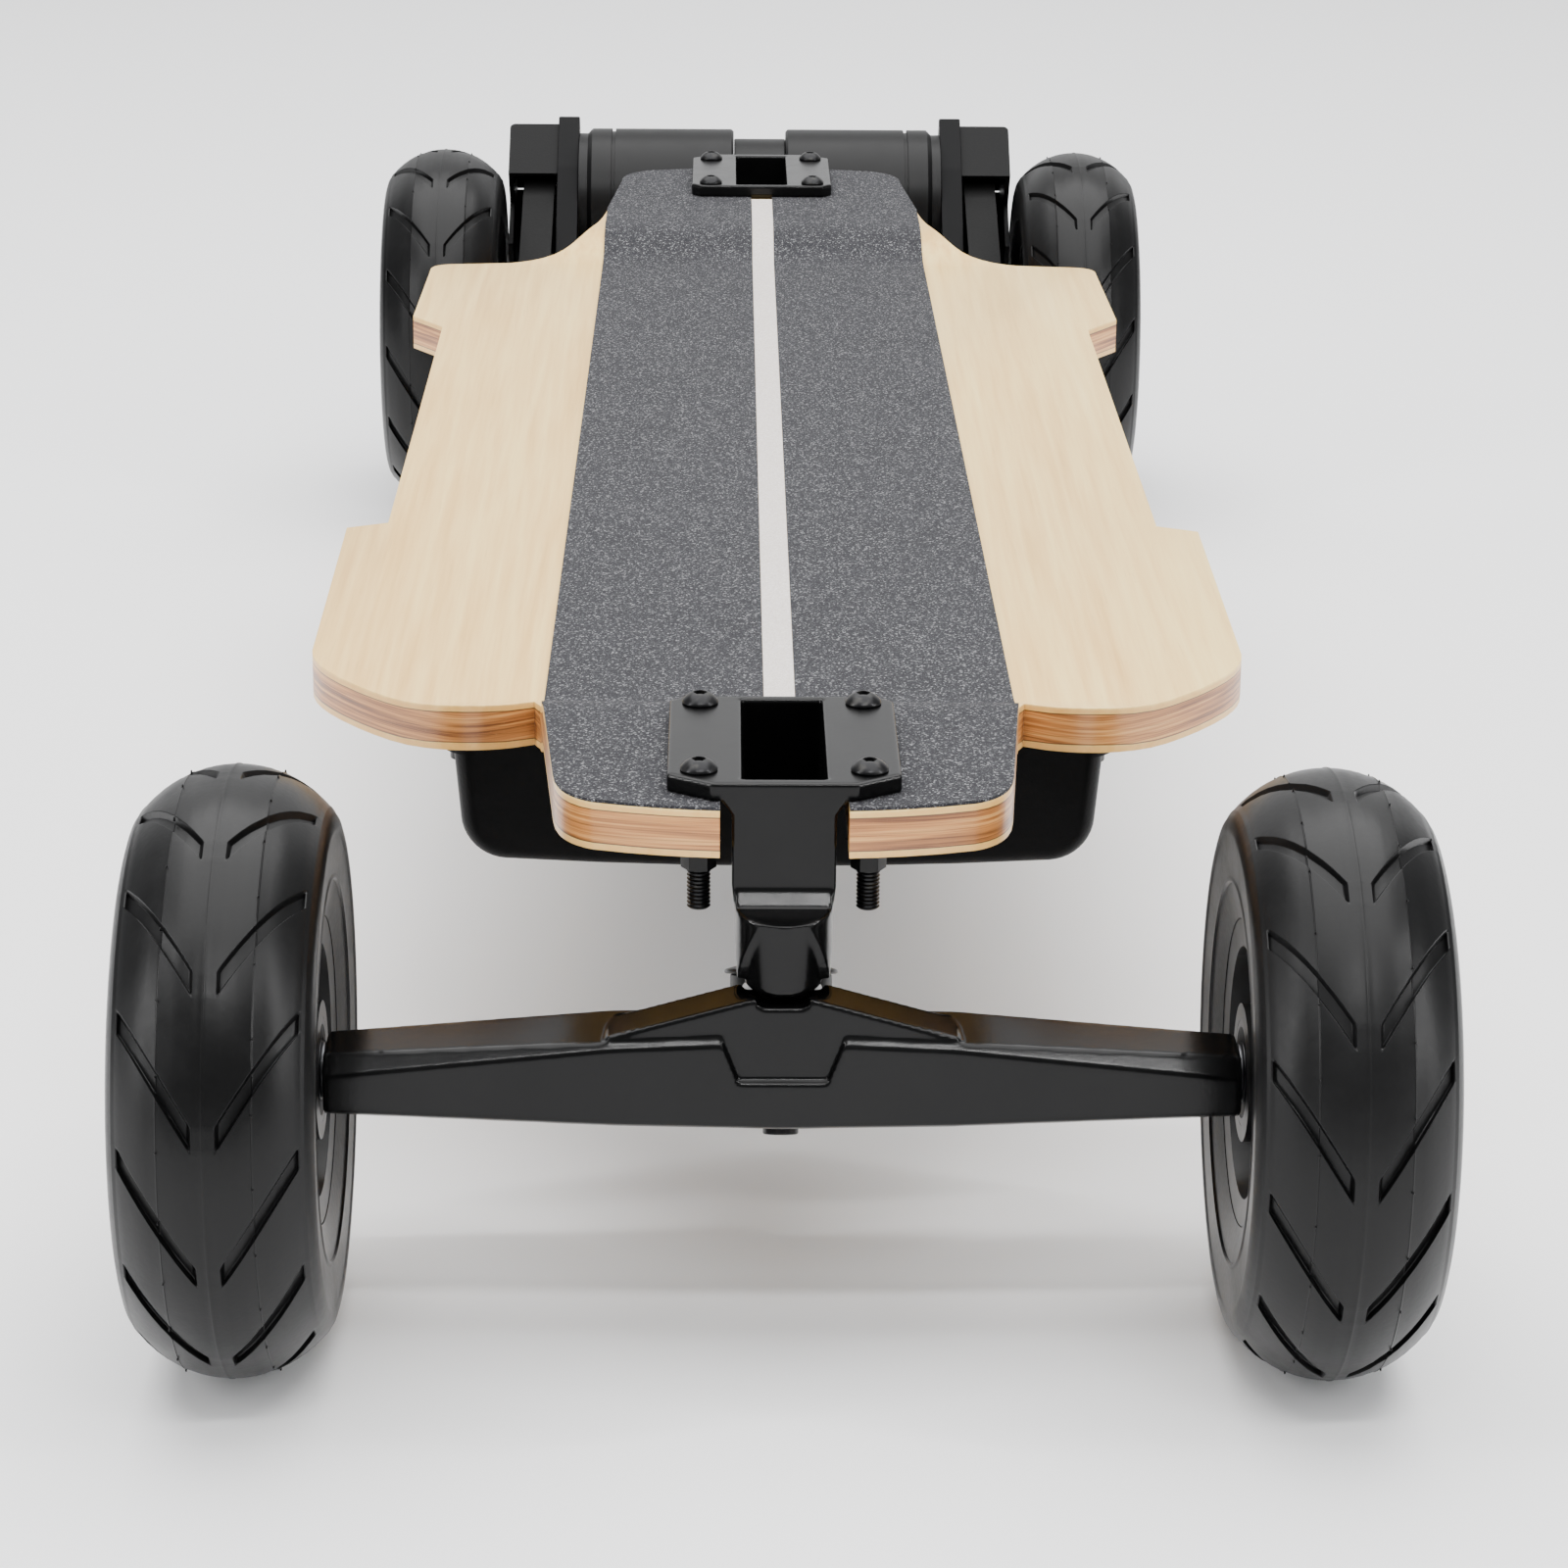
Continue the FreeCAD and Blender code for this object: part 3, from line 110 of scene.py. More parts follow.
class Wire:
    """An output socket that can be used in ordinary arithmetic."""

    def __init__(self, finish, socket):
        self.finish = finish
        self.socket = socket

    def _math(self, operation, *others):
        values = dict(enumerate((self,) + others))
        return self.finish.add("ShaderNodeMath", {"operation": operation}, values)

    def __add__(self, other):
        return self._math("ADD", other)

    def __mul__(self, other):
        return self._math("MULTIPLY", other)

    def __sub__(self, other):
        return self._math("SUBTRACT", other)

    def __rsub__(self, other):
        return self.finish.add("ShaderNodeMath", {"operation": "SUBTRACT"}, {0: other, 1: self})

    __radd__ = __add__
    __rmul__ = __mul__

    def absolute(self):
        return self._math("ABSOLUTE")

    def most(self, other):
        return self._math("MAXIMUM", other)

    def remainder(self, other):
        return self._math("FLOORED_MODULO", other)

    def step(self, low, high):
        """0 below low, 1 above high, smooth between."""
        values = {"Value": self, "From Min": low, "From Max": high}
        return self.finish.add("ShaderNodeMapRange", {"interpolation_type": "SMOOTHSTEP"}, values)


class Finish:
    """One procedural material on a Principled shader."""

    def __init__(self, name):
        self.material = bpy.data.materials.new(name)
        self.material.use_nodes = True
        self.tree = self.material.node_tree
        self.shader = self.tree.nodes["Principled BSDF"]

    def add(self, kind, settings=None, values=None, output=0):
        """A node of that kind: its settings first, then the value or link of each socket."""
        node = self.tree.nodes.new(kind)
        for key, setting in (settings or {}).items():
            if key == "stops":
                self._set_stops(node.color_ramp, setting)
            else:
                setattr(node, key, setting)
        for key, value in (values or {}).items():
            self._feed(node.inputs[key], value)
        return Wire(self, node.outputs[output])

    def _set_stops(self, ramp, stops):
        while len(ramp.elements) < len(stops):
            ramp.elements.new(1.0)
        for element, (place, colour) in zip(ramp.elements, stops):
            element.position = place
            element.color = (*colour, 1.0)

    def _feed(self, socket, value):
        if isinstance(value, Wire):
            self.tree.links.new(value.socket, socket)
        elif isinstance(value, (tuple, list)) and len(value) == 3 and socket.type == "RGBA":
            socket.default_value = (*value, 1.0)
        else:
            socket.default_value = value

    def place(self):
        return self.add("ShaderNodeTexCoord", output="Object")

    def stretched(self, scale):
        return self.add("ShaderNodeMapping", {}, {"Vector": self.place(), "Scale": scale})

    def noise(self, scale, detail=2.0, roughness=0.5, where=None):
        values = {"Vector": where or self.place(), "Scale": scale, "Detail": detail, "Roughness": roughness}
        return self.add("ShaderNodeTexNoise", {}, values)

    def cells(self, scale):
        return self.add("ShaderNodeTexVoronoi", {}, {"Vector": self.place(), "Scale": scale})

    def grains(self, scale):
        """One random value for each grain."""
        return self.add("ShaderNodeTexVoronoi", {}, {"Vector": self.place(), "Scale": scale}, output="Color")

    def attribute(self, name):
        return self.add("ShaderNodeAttribute", {"attribute_name": name}, output="Fac")

    def blend(self, amount, first, second):
        values = {0: amount, 6: first, 7: second}
        return self.add("ShaderNodeMix", {"data_type": "RGBA"}, values, output=2)

    def ramp(self, value, stops):
        return self.add("ShaderNodeValToRGB", {"stops": stops}, {0: value})

    def bump(self, height, depth, strength):
        values = {"Height": height, "Distance": depth, "Strength": strength}
        return self.add("ShaderNodeBump", {}, values)

    def surface(self, **values):
        """Feeds the shader: spaces in socket names are written as underscores."""
        for key, value in values.items():
            self._feed(self.shader.inputs[key.replace("_", " ")], value)
        return self.material


# ---------------------------------------------------------------- materials

def powder_coat(name, dark, light, rough):
    """Fine orange-peel paint on a casting."""
    finish = Finish(name)
    cloud = finish.noise(38.0, 3.0)
    peel = finish.noise(900.0, 1.0)
    grain = finish.noise(3200.0, 2.0)
    normal = finish.bump(peel * 0.6 + grain * 0.4, 0.00005, 0.35)
    return finish.surface(Base_Color=finish.blend(cloud.step(0.3, 0.7), dark, light),
                          Roughness=finish.noise(120.0, 2.0) * 0.1 + rough,
                          Normal=normal, Specular_IOR_Level=0.2)


def moulded_plastic(name, colour, rough):
    """Injection-moulded plastic with a spark-eroded grain."""
    finish = Finish(name)
    grain = finish.cells(1600.0)
    cloud = finish.noise(24.0, 3.0)
    lighter = tuple(channel * 1.35 for channel in colour)
    return finish.surface(Base_Color=finish.blend(cloud.step(0.3, 0.75), colour, lighter),
                          Roughness=cloud * 0.1 + rough, Specular_IOR_Level=0.1,
                          Normal=finish.bump(grain, 0.00008, 0.5))


def tyre_rubber():
    """Black rubber with faint bloom and the fine skin left by the mould."""
    finish = Finish("tyre_rubber")
    bloom = finish.noise(18.0, 5.0, 0.62).step(0.42, 0.72)
    fine = finish.noise(700.0, 3.0)
    specks = finish.cells(1300.0).step(0.0, 0.22)
    colour = finish.blend(bloom * 0.5, (0.0022, 0.0022, 0.0023), (0.006, 0.006, 0.0063))
    return finish.surface(Base_Color=colour, Roughness=bloom * 0.12 + fine * 0.08 + 0.28,
                          Specular_IOR_Level=0.2,
                          Normal=finish.bump(fine * 0.7 + specks * 0.3, 0.00007, 0.5))


def soft_rubber(name, colour, rough):
    finish = Finish(name)
    fine = finish.noise(900.0, 3.0)
    cloud = finish.noise(60.0, 3.0)
    return finish.surface(Base_Color=finish.blend(cloud, colour, tuple(c * 1.5 for c in colour)),
                          Roughness=fine * 0.12 + rough, Specular_IOR_Level=0.12,
                          Normal=finish.bump(fine, 0.00006, 0.5))


def turned_steel(name, colour, rough, grain=1.0):
    """Steel with fine lathe or rolling lines across X."""
    finish = Finish(name)
    lines = finish.noise(1.0, 2.0, 0.5, finish.stretched((5200.0, 60.0, 60.0)))
    marks = finish.noise(240.0, 4.0)
    darker = tuple(channel * 0.72 for channel in colour)
    return finish.surface(Base_Color=finish.blend(marks.step(0.35, 0.7), darker, colour), Metallic=1.0,
                          Roughness=lines * 0.14 * grain + marks * 0.1 + rough,
                          Normal=finish.bump(lines, 0.00002 * grain, 0.4))


def black_oxide():
    """Blackened fastener steel, thinner and browner in patches."""
    finish = Finish("black_oxide")
    patch = finish.noise(420.0, 4.0)
    return finish.surface(Base_Color=finish.blend(patch.step(0.45, 0.75), (0.010, 0.010, 0.011),
                                                  (0.032, 0.031, 0.029)),
                          Metallic=0.7, Roughness=patch * 0.2 + 0.24,
                          Normal=finish.bump(finish.noise(2600.0, 2.0), 0.00003, 0.4))


def anodised(name, colour, rough):
    finish = Finish(name)
    lines = finish.noise(1.0, 2.0, 0.5, finish.stretched((90.0, 90.0, 3800.0)))
    cloud = finish.noise(55.0, 2.0)
    lighter = tuple(channel * 1.4 for channel in colour)
    return finish.surface(Base_Color=finish.blend(cloud, colour, lighter), Metallic=0.55,
                          Specular_IOR_Level=0.1,
                          Roughness=lines * 0.1 + cloud * 0.06 + rough,
                          Normal=finish.bump(lines, 0.000015, 0.35))


def laminated_wood():
    """Pale face veneers over a tan core; the depth below the top face picks the ply."""
    finish = Finish("laminated_wood")
    depth = finish.attribute("ply_depth") + finish.noise(70.0, 2.0) * 0.2 - 0.1
    grain = finish.noise(1.0, 5.0, 0.62, finish.stretched((330.0, 9.0, 330.0)))
    pores = finish.noise(1.0, 2.0, 0.5, finish.stretched((1500.0, 40.0, 1500.0)))
    broad = finish.noise(1.0, 3.0, 0.5, finish.stretched((40.0, 1.6, 40.0)))
    edge_grain = finish.noise(1.0, 4.0, 0.6, finish.stretched((16.0, 16.0, 1050.0)))
    pale = finish.ramp(grain * 0.55 + broad * 0.45, [(0.32, (0.70, 0.40, 0.10)), (0.45, (0.80, 0.51, 0.16)),
                                                   (0.56, (0.87, 0.60, 0.21)), (0.70, (0.92, 0.67, 0.27))])
    tan = finish.ramp(edge_grain, [(0.34, (0.13, 0.038, 0.008)), (0.44, (0.33, 0.125, 0.032)),
                                   (0.53, (0.50, 0.20, 0.050)), (0.66, (0.68, 0.36, 0.11))])
    core = depth.step(1.75, 1.95) * (1.0 - depth.step(10.05, 10.25))
    colour = finish.blend(core, pale, tan)
    seams = ((depth - 1.85).remainder(2.05) - 1.025).absolute().step(0.9, 1.02) * core
    face_seams = (1.0 - (depth - 1.85).absolute().step(0.08, 0.24)).most(
        1.0 - (depth - 10.15).absolute().step(0.08, 0.24))
    colour = finish.blend((seams * 0.5).most(face_seams * 0.9), colour, (0.075, 0.024, 0.007))
    sanded = depth.step(0.12, 0.8) * (1.0 - depth.step(1.5, 1.8))
    lower = depth.step(10.3, 10.6)
    colour = finish.blend(sanded.most(lower) * 0.5, colour, (0.70, 0.34, 0.07))
    colour = finish.blend(pores.step(0.6, 0.78) * 0.22, colour, (0.42, 0.24, 0.10))
    return finish.surface(Base_Color=colour, Roughness=grain * 0.14 + 0.34, Coat_Weight=0.3,
                          Coat_Roughness=0.25,
                          Normal=finish.bump(grain * 0.5 + pores * 0.5, 0.00005, 0.35))


def grit_sheet(name, ground, light, painted_glint, painted_sparkle):
    """Bonded grit: every grain has its own tone, and a few grains get a painted glint, a highlight painted into
    the base colour.
    """
    finish = Finish(name)
    grain = finish.grains(2600.0)
    fine = finish.grains(4600.0)
    patch = finish.noise(22.0, 4.0)
    shade = finish.blend((grain * 0.6 + fine * 0.4).step(0.25, 0.75), ground, light)
    shade = finish.blend(patch.step(0.35, 0.75) * 0.3, shade, ground)
    # painted highlight: the brightest grains get the glint colour painted into their base colour, with lower
    # roughness
    painted_spark = finish.grains(2100.0).step(0.76, 0.84)
    dim_painted_spark = finish.grains(3300.0).step(0.66, 0.8)
    # painted highlight: a fainter glint painted into the colour of more grains
    shade = finish.blend(dim_painted_spark * painted_sparkle * 0.4, shade, painted_glint)
    return finish.surface(Base_Color=finish.blend(painted_spark * painted_sparkle, shade, painted_glint),
                          Roughness=0.85 - painted_spark * 0.35, Specular_IOR_Level=0.3,
                          Normal=finish.bump(grain * 0.6 + fine * 0.4, 0.0003, 0.7))


def floor_finish():
    finish = Finish("pale_floor")
    cloud = finish.noise(1.6, 3.0)
    return finish.surface(Base_Color=finish.blend(cloud, (0.88, 0.88, 0.885), (0.91, 0.91, 0.915)),
                          Roughness=cloud * 0.1 + 0.6, Specular_IOR_Level=0.2)


FINISHES = {
    "cast": powder_coat("cast_black_paint", (0.0012, 0.0012, 0.0013), (0.0024, 0.0024, 0.0025), 0.15),
    "rim": powder_coat("rim_black_paint", (0.002, 0.002, 0.0021), (0.004, 0.004, 0.0042), 0.28),
    "motor": powder_coat("motor_black_paint", (0.0012, 0.0012, 0.0013), (0.0024, 0.0024, 0.0025), 0.36),
    "mount": anodised("mount_black_anodising", (0.004, 0.004, 0.0042), 0.34),
    "pulley": anodised("pulley_black_anodising", (0.005, 0.005, 0.0052), 0.32),
    "case": moulded_plastic("case_plastic", (0.002, 0.002, 0.0021), 0.40),
    "cover": moulded_plastic("cover_plastic", (0.003, 0.003, 0.0031), 0.38),
    "button": moulded_plastic("button_plastic", (0.012, 0.012, 0.013), 0.36),
    "tyre": tyre_rubber(),
    "tube": soft_rubber("tube_rubber", (0.01, 0.01, 0.01), 0.5),
    "belt": soft_rubber("belt_rubber", (0.002, 0.002, 0.002), 0.5),
    "bushing": soft_rubber("bushing_urethane", (0.006, 0.006, 0.006), 0.36),
    "oxide": black_oxide(),
    "nut": powder_coat("nut_black_zinc", (0.004, 0.004, 0.0042), (0.009, 0.009, 0.0092), 0.3),
    "steel": turned_steel("turned_steel", (0.16, 0.16, 0.17), 0.3),
    "bearing": turned_steel("bearing_steel", (0.07, 0.07, 0.075), 0.3, 0.5),
    "wood": laminated_wood(),
    # the third colour and the last number of each grit are its painted glint, a highlight painted into the colour
    "grip": grit_sheet("dark_grit", (0.010, 0.010, 0.0125), (0.023, 0.023, 0.028), (0.38, 0.38, 0.39), 0.42),
    "stripe": grit_sheet("pale_grit", (0.60, 0.54, 0.50), (0.76, 0.70, 0.66), (0.9, 0.88, 0.86), 0.4),
    "wrap": moulded_plastic("battery_wrap", (0.05, 0.12, 0.25), 0.3),
    "fins": anodised("controller_aluminium", (0.4, 0.4, 0.42), 0.35),
}


# ---------------------------------------------------------------- mesh helpers

def add_piece(name, mesh, finish, body):
    piece = bpy.data.objects.new(name, mesh)
    bpy.context.scene.collection.objects.link(piece)
    mesh.materials.clear()
    mesh.materials.append(FINISHES[finish])
    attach(piece, body)
    return piece


def shade_by_angle(mesh, degrees):
    """Smooth faces, with edges sharper than the angle kept crisp."""
    limit = math.radians(degrees)
    shaped = bmesh.new()
    shaped.from_mesh(mesh)
    for face in shaped.faces:
        face.smooth = True
    for edge in shaped.edges:
        edge.smooth = len(edge.link_faces) == 2 and edge.calc_face_angle(0.0) < limit
    shaped.to_mesh(mesh)
    shaped.free()


def steady_normals(mesh):
    """The same mesh with normals led by its large faces, so flats stay flat beside rounded edges."""
    carrier = bpy.data.objects.new(mesh.name + "_carrier", mesh)
    bpy.context.scene.collection.objects.link(carrier)
    steadied = carrier.modifiers.new("steady", "WEIGHTED_NORMAL")
    steadied.mode = "FACE_AREA"
    steadied.keep_sharp = True
    found = bpy.context.evaluated_depsgraph_get()
    result = bpy.data.meshes.new_from_object(carrier.evaluated_get(found))
    result.name = mesh.name + "_steady"
    bpy.data.objects.remove(carrier)
    return result


def finish_casting(node, finish, grain, rounds):
    """The CAD node redrawn as one skin with its edges run together, as a casting leaves the mould."""
    carrier = bpy.data.objects.new(node + "_carrier", nodes[node].data.copy())
    bpy.context.scene.collection.objects.link(carrier)
    skin = carrier.modifiers.new("skin", "REMESH")
    skin.mode = "VOXEL"
    skin.voxel_size = grain * MM
    skin.use_smooth_shade = True
    softened = carrier.modifiers.new("softened", "SMOOTH")
    softened.factor = 0.5
    softened.iterations = rounds
    found = bpy.context.evaluated_depsgraph_get()
    mesh = bpy.data.meshes.new_from_object(carrier.evaluated_get(found))
    mesh.name = node + "_cast"
    bpy.data.objects.remove(carrier)
    piece = add_piece(node + "_finished", mesh, finish, node_body(node))
    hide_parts(node)
    return piece


def softened_mesh(node, width, segments, sharp=28.0):
    """A copy of a CAD solid with its doubles merged, flat faces joined and sharp edges rounded."""
    shaped = bmesh.new()
    shaped.from_mesh(nodes[node].data)
    bmesh.ops.remove_doubles(shaped, verts=shaped.verts, dist=SAME_PLACE)
    bmesh.ops.dissolve_limit(shaped, angle_limit=math.radians(0.4), verts=shaped.verts, edges=shaped.edges)
    if width:
        limit = math.radians(sharp)
        edges = [e for e in shaped.edges if len(e.link_faces) == 2 and e.calc_face_angle(0.0) > limit]
        bmesh.ops.bevel(shaped, geom=edges, offset=width, segments=segments, profile=0.5,
                        affect="EDGES", clamp_overlap=True)
        bmesh.ops.remove_doubles(shaped, verts=shaped.verts, dist=SAME_PLACE)
    mesh = bpy.data.meshes.new(node + "_finished")
    shaped.to_mesh(mesh)
    shaped.free()
    return mesh


def node_body(node):
    for body, members in frame["record"]["behaviour"]["bodies"].items():
        if node in members:
            return body
    raise ValueError(node)


def finish_node(node, finish, width=0.4, segments=2):
    """The CAD node redrawn with broken edges, standing in for it."""
    mesh = softened_mesh(node, width * MM, segments)
    shade_by_angle(mesh, 38.0)
    mesh = steady_normals(mesh)
    piece = add_piece(node + "_finished", mesh, finish, node_body(node))
    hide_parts(node)
    return piece


def paint_node(node, finish):
    """The CAD node kept as it is, with its material changed."""
    data = nodes[node].data
    data.materials.clear()
    data.materials.append(FINISHES[finish])


# ---------------------------------------------------------------- repeated details

def copies_tree():
    """Node tree that sets out copies of one piece in a line, each turned on from the last."""
    tree = bpy.data.node_groups.new("repeated_copies", "GeometryNodeTree")
    inputs = (("Piece", "NodeSocketObject"), ("Count", "NodeSocketInt"), ("Step", "NodeSocketVector"),
              ("Turn", "NodeSocketVector"), ("Finish", "NodeSocketMaterial"))
    for label, kind in inputs:
        tree.interface.new_socket(label, in_out="INPUT", socket_type=kind)
    tree.interface.new_socket("Geometry", in_out="OUTPUT", socket_type="NodeSocketGeometry")
    made = {}
    for label, kind in (("given", "NodeGroupInput"), ("line", "GeometryNodeMeshLine"),
                        ("piece", "GeometryNodeObjectInfo"), ("set_out", "GeometryNodeInstanceOnPoints"),
                        ("number", "GeometryNodeInputIndex"), ("angle", "ShaderNodeVectorMath"),
                        ("turned", "GeometryNodeRotateInstances"), ("real", "GeometryNodeRealizeInstances"),
                        ("finished", "GeometryNodeSetMaterial"), ("result", "NodeGroupOutput")):
        made[label] = tree.nodes.new(kind)
    made["angle"].operation = "SCALE"
    made["turned"].inputs["Local Space"].default_value = False
    for source, output, target, socket in (
            ("given", "Piece", "piece", "Object"), ("given", "Count", "line", "Count"),
            ("given", "Step", "line", "Offset"), ("line", "Mesh", "set_out", "Points"),
            ("piece", "Geometry", "set_out", "Instance"), ("given", "Turn", "angle", 0),
            ("number", "Index", "angle", "Scale"), ("set_out", "Instances", "turned", "Instances"),
            ("angle", "Vector", "turned", "Rotation"), ("turned", "Instances", "real", "Geometry"),
            ("real", "Geometry", "finished", "Geometry"), ("given", "Finish", "finished", "Material"),
            ("finished", "Geometry", "result", "Geometry")):
        tree.links.new(made[source].outputs[output], made[target].inputs[socket])
    return tree


COPIES = copies_tree()


def repeated(mesh, finish, count, step=(0.0, 0.0, 0.0), turn=(0.0, 0.0, 0.0)):
    """A plain mesh of count copies of a small piece."""
    template = bpy.data.objects.new("template", mesh)
    holder = bpy.data.objects.new("holder", bpy.data.meshes.new("holder"))
    for item in (template, holder):
        bpy.context.scene.collection.objects.link(item)
    modifier = holder.modifiers.new("copies", "NODES")
    modifier.node_group = COPIES
    given = {"Piece": template, "Count": count, "Step": step, "Turn": turn, "Finish": FINISHES[finish]}
    for socket in COPIES.interface.items_tree:
        if socket.in_out == "INPUT":
            modifier[socket.identifier] = given[socket.name]
    graph = bpy.context.evaluated_depsgraph_get()
    plain = bpy.data.meshes.new_from_object(holder.evaluated_get(graph))
    holder.modifiers.clear()
    for item in (template, holder):
        bpy.data.objects.remove(item)
    return plain


def gathered(name, placed):
    """One mesh from several (mesh, matrix) pairs."""
    shaped = bmesh.new()
    for mesh, matrix in placed:
        moved = mesh.copy()
        moved.transform(matrix)
        shaped.from_mesh(moved)
        bpy.data.meshes.remove(moved)
    whole = bpy.data.meshes.new(name)
    shaped.to_mesh(whole)
    shaped.free()
    return whole


def lathe(name, section, around=24, closed=True):
    """A section of (radius, height) pairs in metres turned about Z."""
    verts = [(r * math.cos(2 * math.pi * k / around), r * math.sin(2 * math.pi * k / around), z)
             for k in range(around) for r, z in section]
    rows = len(section)
    faces = []
    for k in range(around):
        following = (k + 1) % around
        for row in range(rows if closed else rows - 1):
            above = (row + 1) % rows
            faces.append((k * rows + row, following * rows + row, following * rows + above, k * rows + above))
    mesh = bpy.data.meshes.new(name)
    mesh.from_pydata(verts, [], faces)
    outward_faces(mesh)
    return mesh


def outward_faces(mesh):
    shaped = bmesh.new()
    shaped.from_mesh(mesh)
    bmesh.ops.recalc_face_normals(shaped, faces=shaped.faces)
    shaped.to_mesh(mesh)
    shaped.free()


def make_bolt_threads():
    """Thread turns on the deck bolts below their nuts."""
    pitch = MM
    thread_turn = lathe("thread_turn", [(2.3 * MM, -0.45 * MM), (2.9 * MM, 0.0), (2.3 * MM, 0.45 * MM)])
    count = 10
    stack = repeated(thread_turn, "oxide", count, step=(0.0, 0.0, pitch))
    bolt_side = 20.65
    bolt_middle = 36.6
    bolt_reach = 26.99
    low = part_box("deck_bolts")[0].z
    placed = []
    for x in (-bolt_side * MM, bolt_side * MM):
        for end, inboard in (("front_steer", 1.0), ("rear_steer", -1.0)):
            for along in (bolt_middle - bolt_reach, bolt_middle + bolt_reach):
                y = joints[end]["pos_m"][1] + inboard * along * MM
                placed.append((stack, Matrix.Translation(Vector((x, y, low + 0.5 * MM)))))
    mesh = gathered("bolt_threads", placed)
    shade_by_angle(mesh, 25.0)
    add_piece("deck_bolt_threads", mesh, "oxide", "board")


def make_bearing_seals(wheel):
    """Black rubber seals in the grooves of a wheel's bearing faces."""
    centre = Vector(joints[wheel + "_spin"]["pos_m"])
    low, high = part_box(wheel + "_bearings")
    seal = lathe("seal", [(7.5 * MM, 0.0), (11.1 * MM, 0.0), (11.1 * MM, 0.5 * MM), (10.2 * MM, 0.62 * MM),
                          (8.2 * MM, 0.62 * MM), (7.5 * MM, 0.5 * MM)], 48)
    across = Matrix.Rotation(math.radians(90), 4, "Y")
    placed = []
    for x, way in ((low.x, -1), (high.x, 1)):
        turn = across if way > 0 else Matrix.Rotation(math.radians(-90), 4, "Y")
        start = Vector((x - way * 0.66 * MM, centre.y, centre.z))
        placed.append((seal, Matrix.Translation(start) @ turn))
    mesh = gathered(wheel + "_seals", placed)
    shade_by_angle(mesh, 30.0)
    add_piece(wheel + "_bearing_seals", mesh, "belt", wheel + "_wheel")


# ---------------------------------------------------------------- deck

def deck_top(along):
    """Height of the deck board's top face at a place along Y, found on the CAD board."""
    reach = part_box("deck_board")
    middle = 0.045
    start = Vector((middle, min(max(along, reach[0].y + 0.012), reach[1].y - 0.012), 0.3))
    found, spot, _, _ = nodes["deck_board"].ray_cast(start, Vector((0, 0, -1)))
    return spot.z if found else reach[1].z


def finish_deck():
    """The board with rounded long edges, and each vertex's depth below the top face kept for the plies."""
    mesh = softened_mesh("deck_board", 2.2 * MM, 4, 50.0)
    heights = {}
    depths = mesh.attributes.new("ply_depth", "FLOAT", "POINT")
    for index, vertex in enumerate(mesh.vertices):
        key = round(vertex.co.y, 5)
        if key not in heights:
            heights[key] = deck_top(vertex.co.y)
        depths.data[index].value = (heights[key] - vertex.co.z) / MM
    shade_by_angle(mesh, 30.0)
    piece = add_piece("deck_board_finished", mesh, "wood", "board")
    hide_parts("deck_board")


# ---------------------------------------------------------------- tyres

TYRE_RADIUS = 74.8
CROWN = 28.4
SHOULDER = 22.9
CHEVRONS = 13
GROOVE_START = 2.7
GROOVE_END = 21.2
GROOVE_SWEEP = math.radians(22.5)
GROOVE_DEPTH = 1.7
WALL = [(23.5, 62.3), (24.1, 60.2), (24.1, 58.3), (23.75, 57.8), (23.65, 52.0), (23.2, 48.3), (23.5, 47.8),
        (23.4, 46.9), (22.8, 46.5), (22.4, 44.0), (21.2, 39.4), (20.8, 37.8), (18.95, 37.8), (18.95, 34.05),
        (14.6, 34.05), (14.4, 37.65), (18.3, 46.0), (19.8, 53.0), (18.8, 60.0), (12.0, 66.4)]


def crown_radius(across):
    return TYRE_RADIUS - CROWN + math.sqrt(CROWN ** 2 - across ** 2)


def tread_rows():
    """(across, radius, groove share) from the middle of the tread out to the shoulder."""
    inner, outer = GROOVE_START, GROOVE_END
    crest, parting, shoulder_line = 0.2, 0.16, 0.22
    places = [(0.0, crest, 0), (0.3, crest, 0), (0.55, 0.0, 0), (1.7, 0.0, 0), (inner - 0.35, 0.0, 0),
              (inner, 0.0, 0), (inner + 0.3, 0.0, 0.2), (inner + 0.7, 0.0, 0.9), (inner + 1.2, 0.0, 1),
              (5.6, 0.0, 1),
              (7.6, 0.0, 1), (10.75, 0.0, 1), (10.9, parting, 1), (11.1, parting, 1), (11.25, 0.0, 1),
              (13.4, 0.0, 1), (15.4, 0.0, 1), (17.4, 0.0, 1), (outer - 1.5, 0.0, 1), (outer - 0.7, 0.0, 0.9),
              (outer - 0.3, 0.0, 0.2), (outer, 0.0, 0), (outer + 0.35, 0.0, 0),
              (22.1, shoulder_line, 0), (22.4, shoulder_line, 0), (SHOULDER, 0.0, 0)]
    return [(u, crown_radius(u) + raised, share) for u, raised, share in places]


def tread_columns():
    """(angle, groove share) once round the tyre, with close columns at each groove's edges."""
    pitch = 2 * math.pi / CHEVRONS
    half = math.radians(2.35)
    lip = math.radians(0.32)
    wall = math.radians(0.42)
    edges = [(-half - lip, 0.0), (-half - 0.4 * lip, 0.03), (-half, 0.14), (-half + wall, 0.9),
             (-half + 1.7 * wall, 1.0), (half - 1.7 * wall, 1.0), (half - wall, 0.9), (half, 0.14),
             (half + 0.4 * lip, 0.03), (half + lip, 0.0)]
    first = half + lip
    plain = 9
    spread = [(first + (pitch - 2 * first) * (i + 1) / (plain + 1), 0.0) for i in range(plain)]
    return [(pitch * k + angle, share) for k in range(CHEVRONS) for angle, share in edges + spread]


def sweep_at(across):
    """How far round the groove has run at a distance from the middle of the tread."""
    share = (abs(across) - GROOVE_START) / (GROOVE_END - GROOVE_START)
    return GROOVE_SWEEP * min(max(share, 0.0), 1.0)


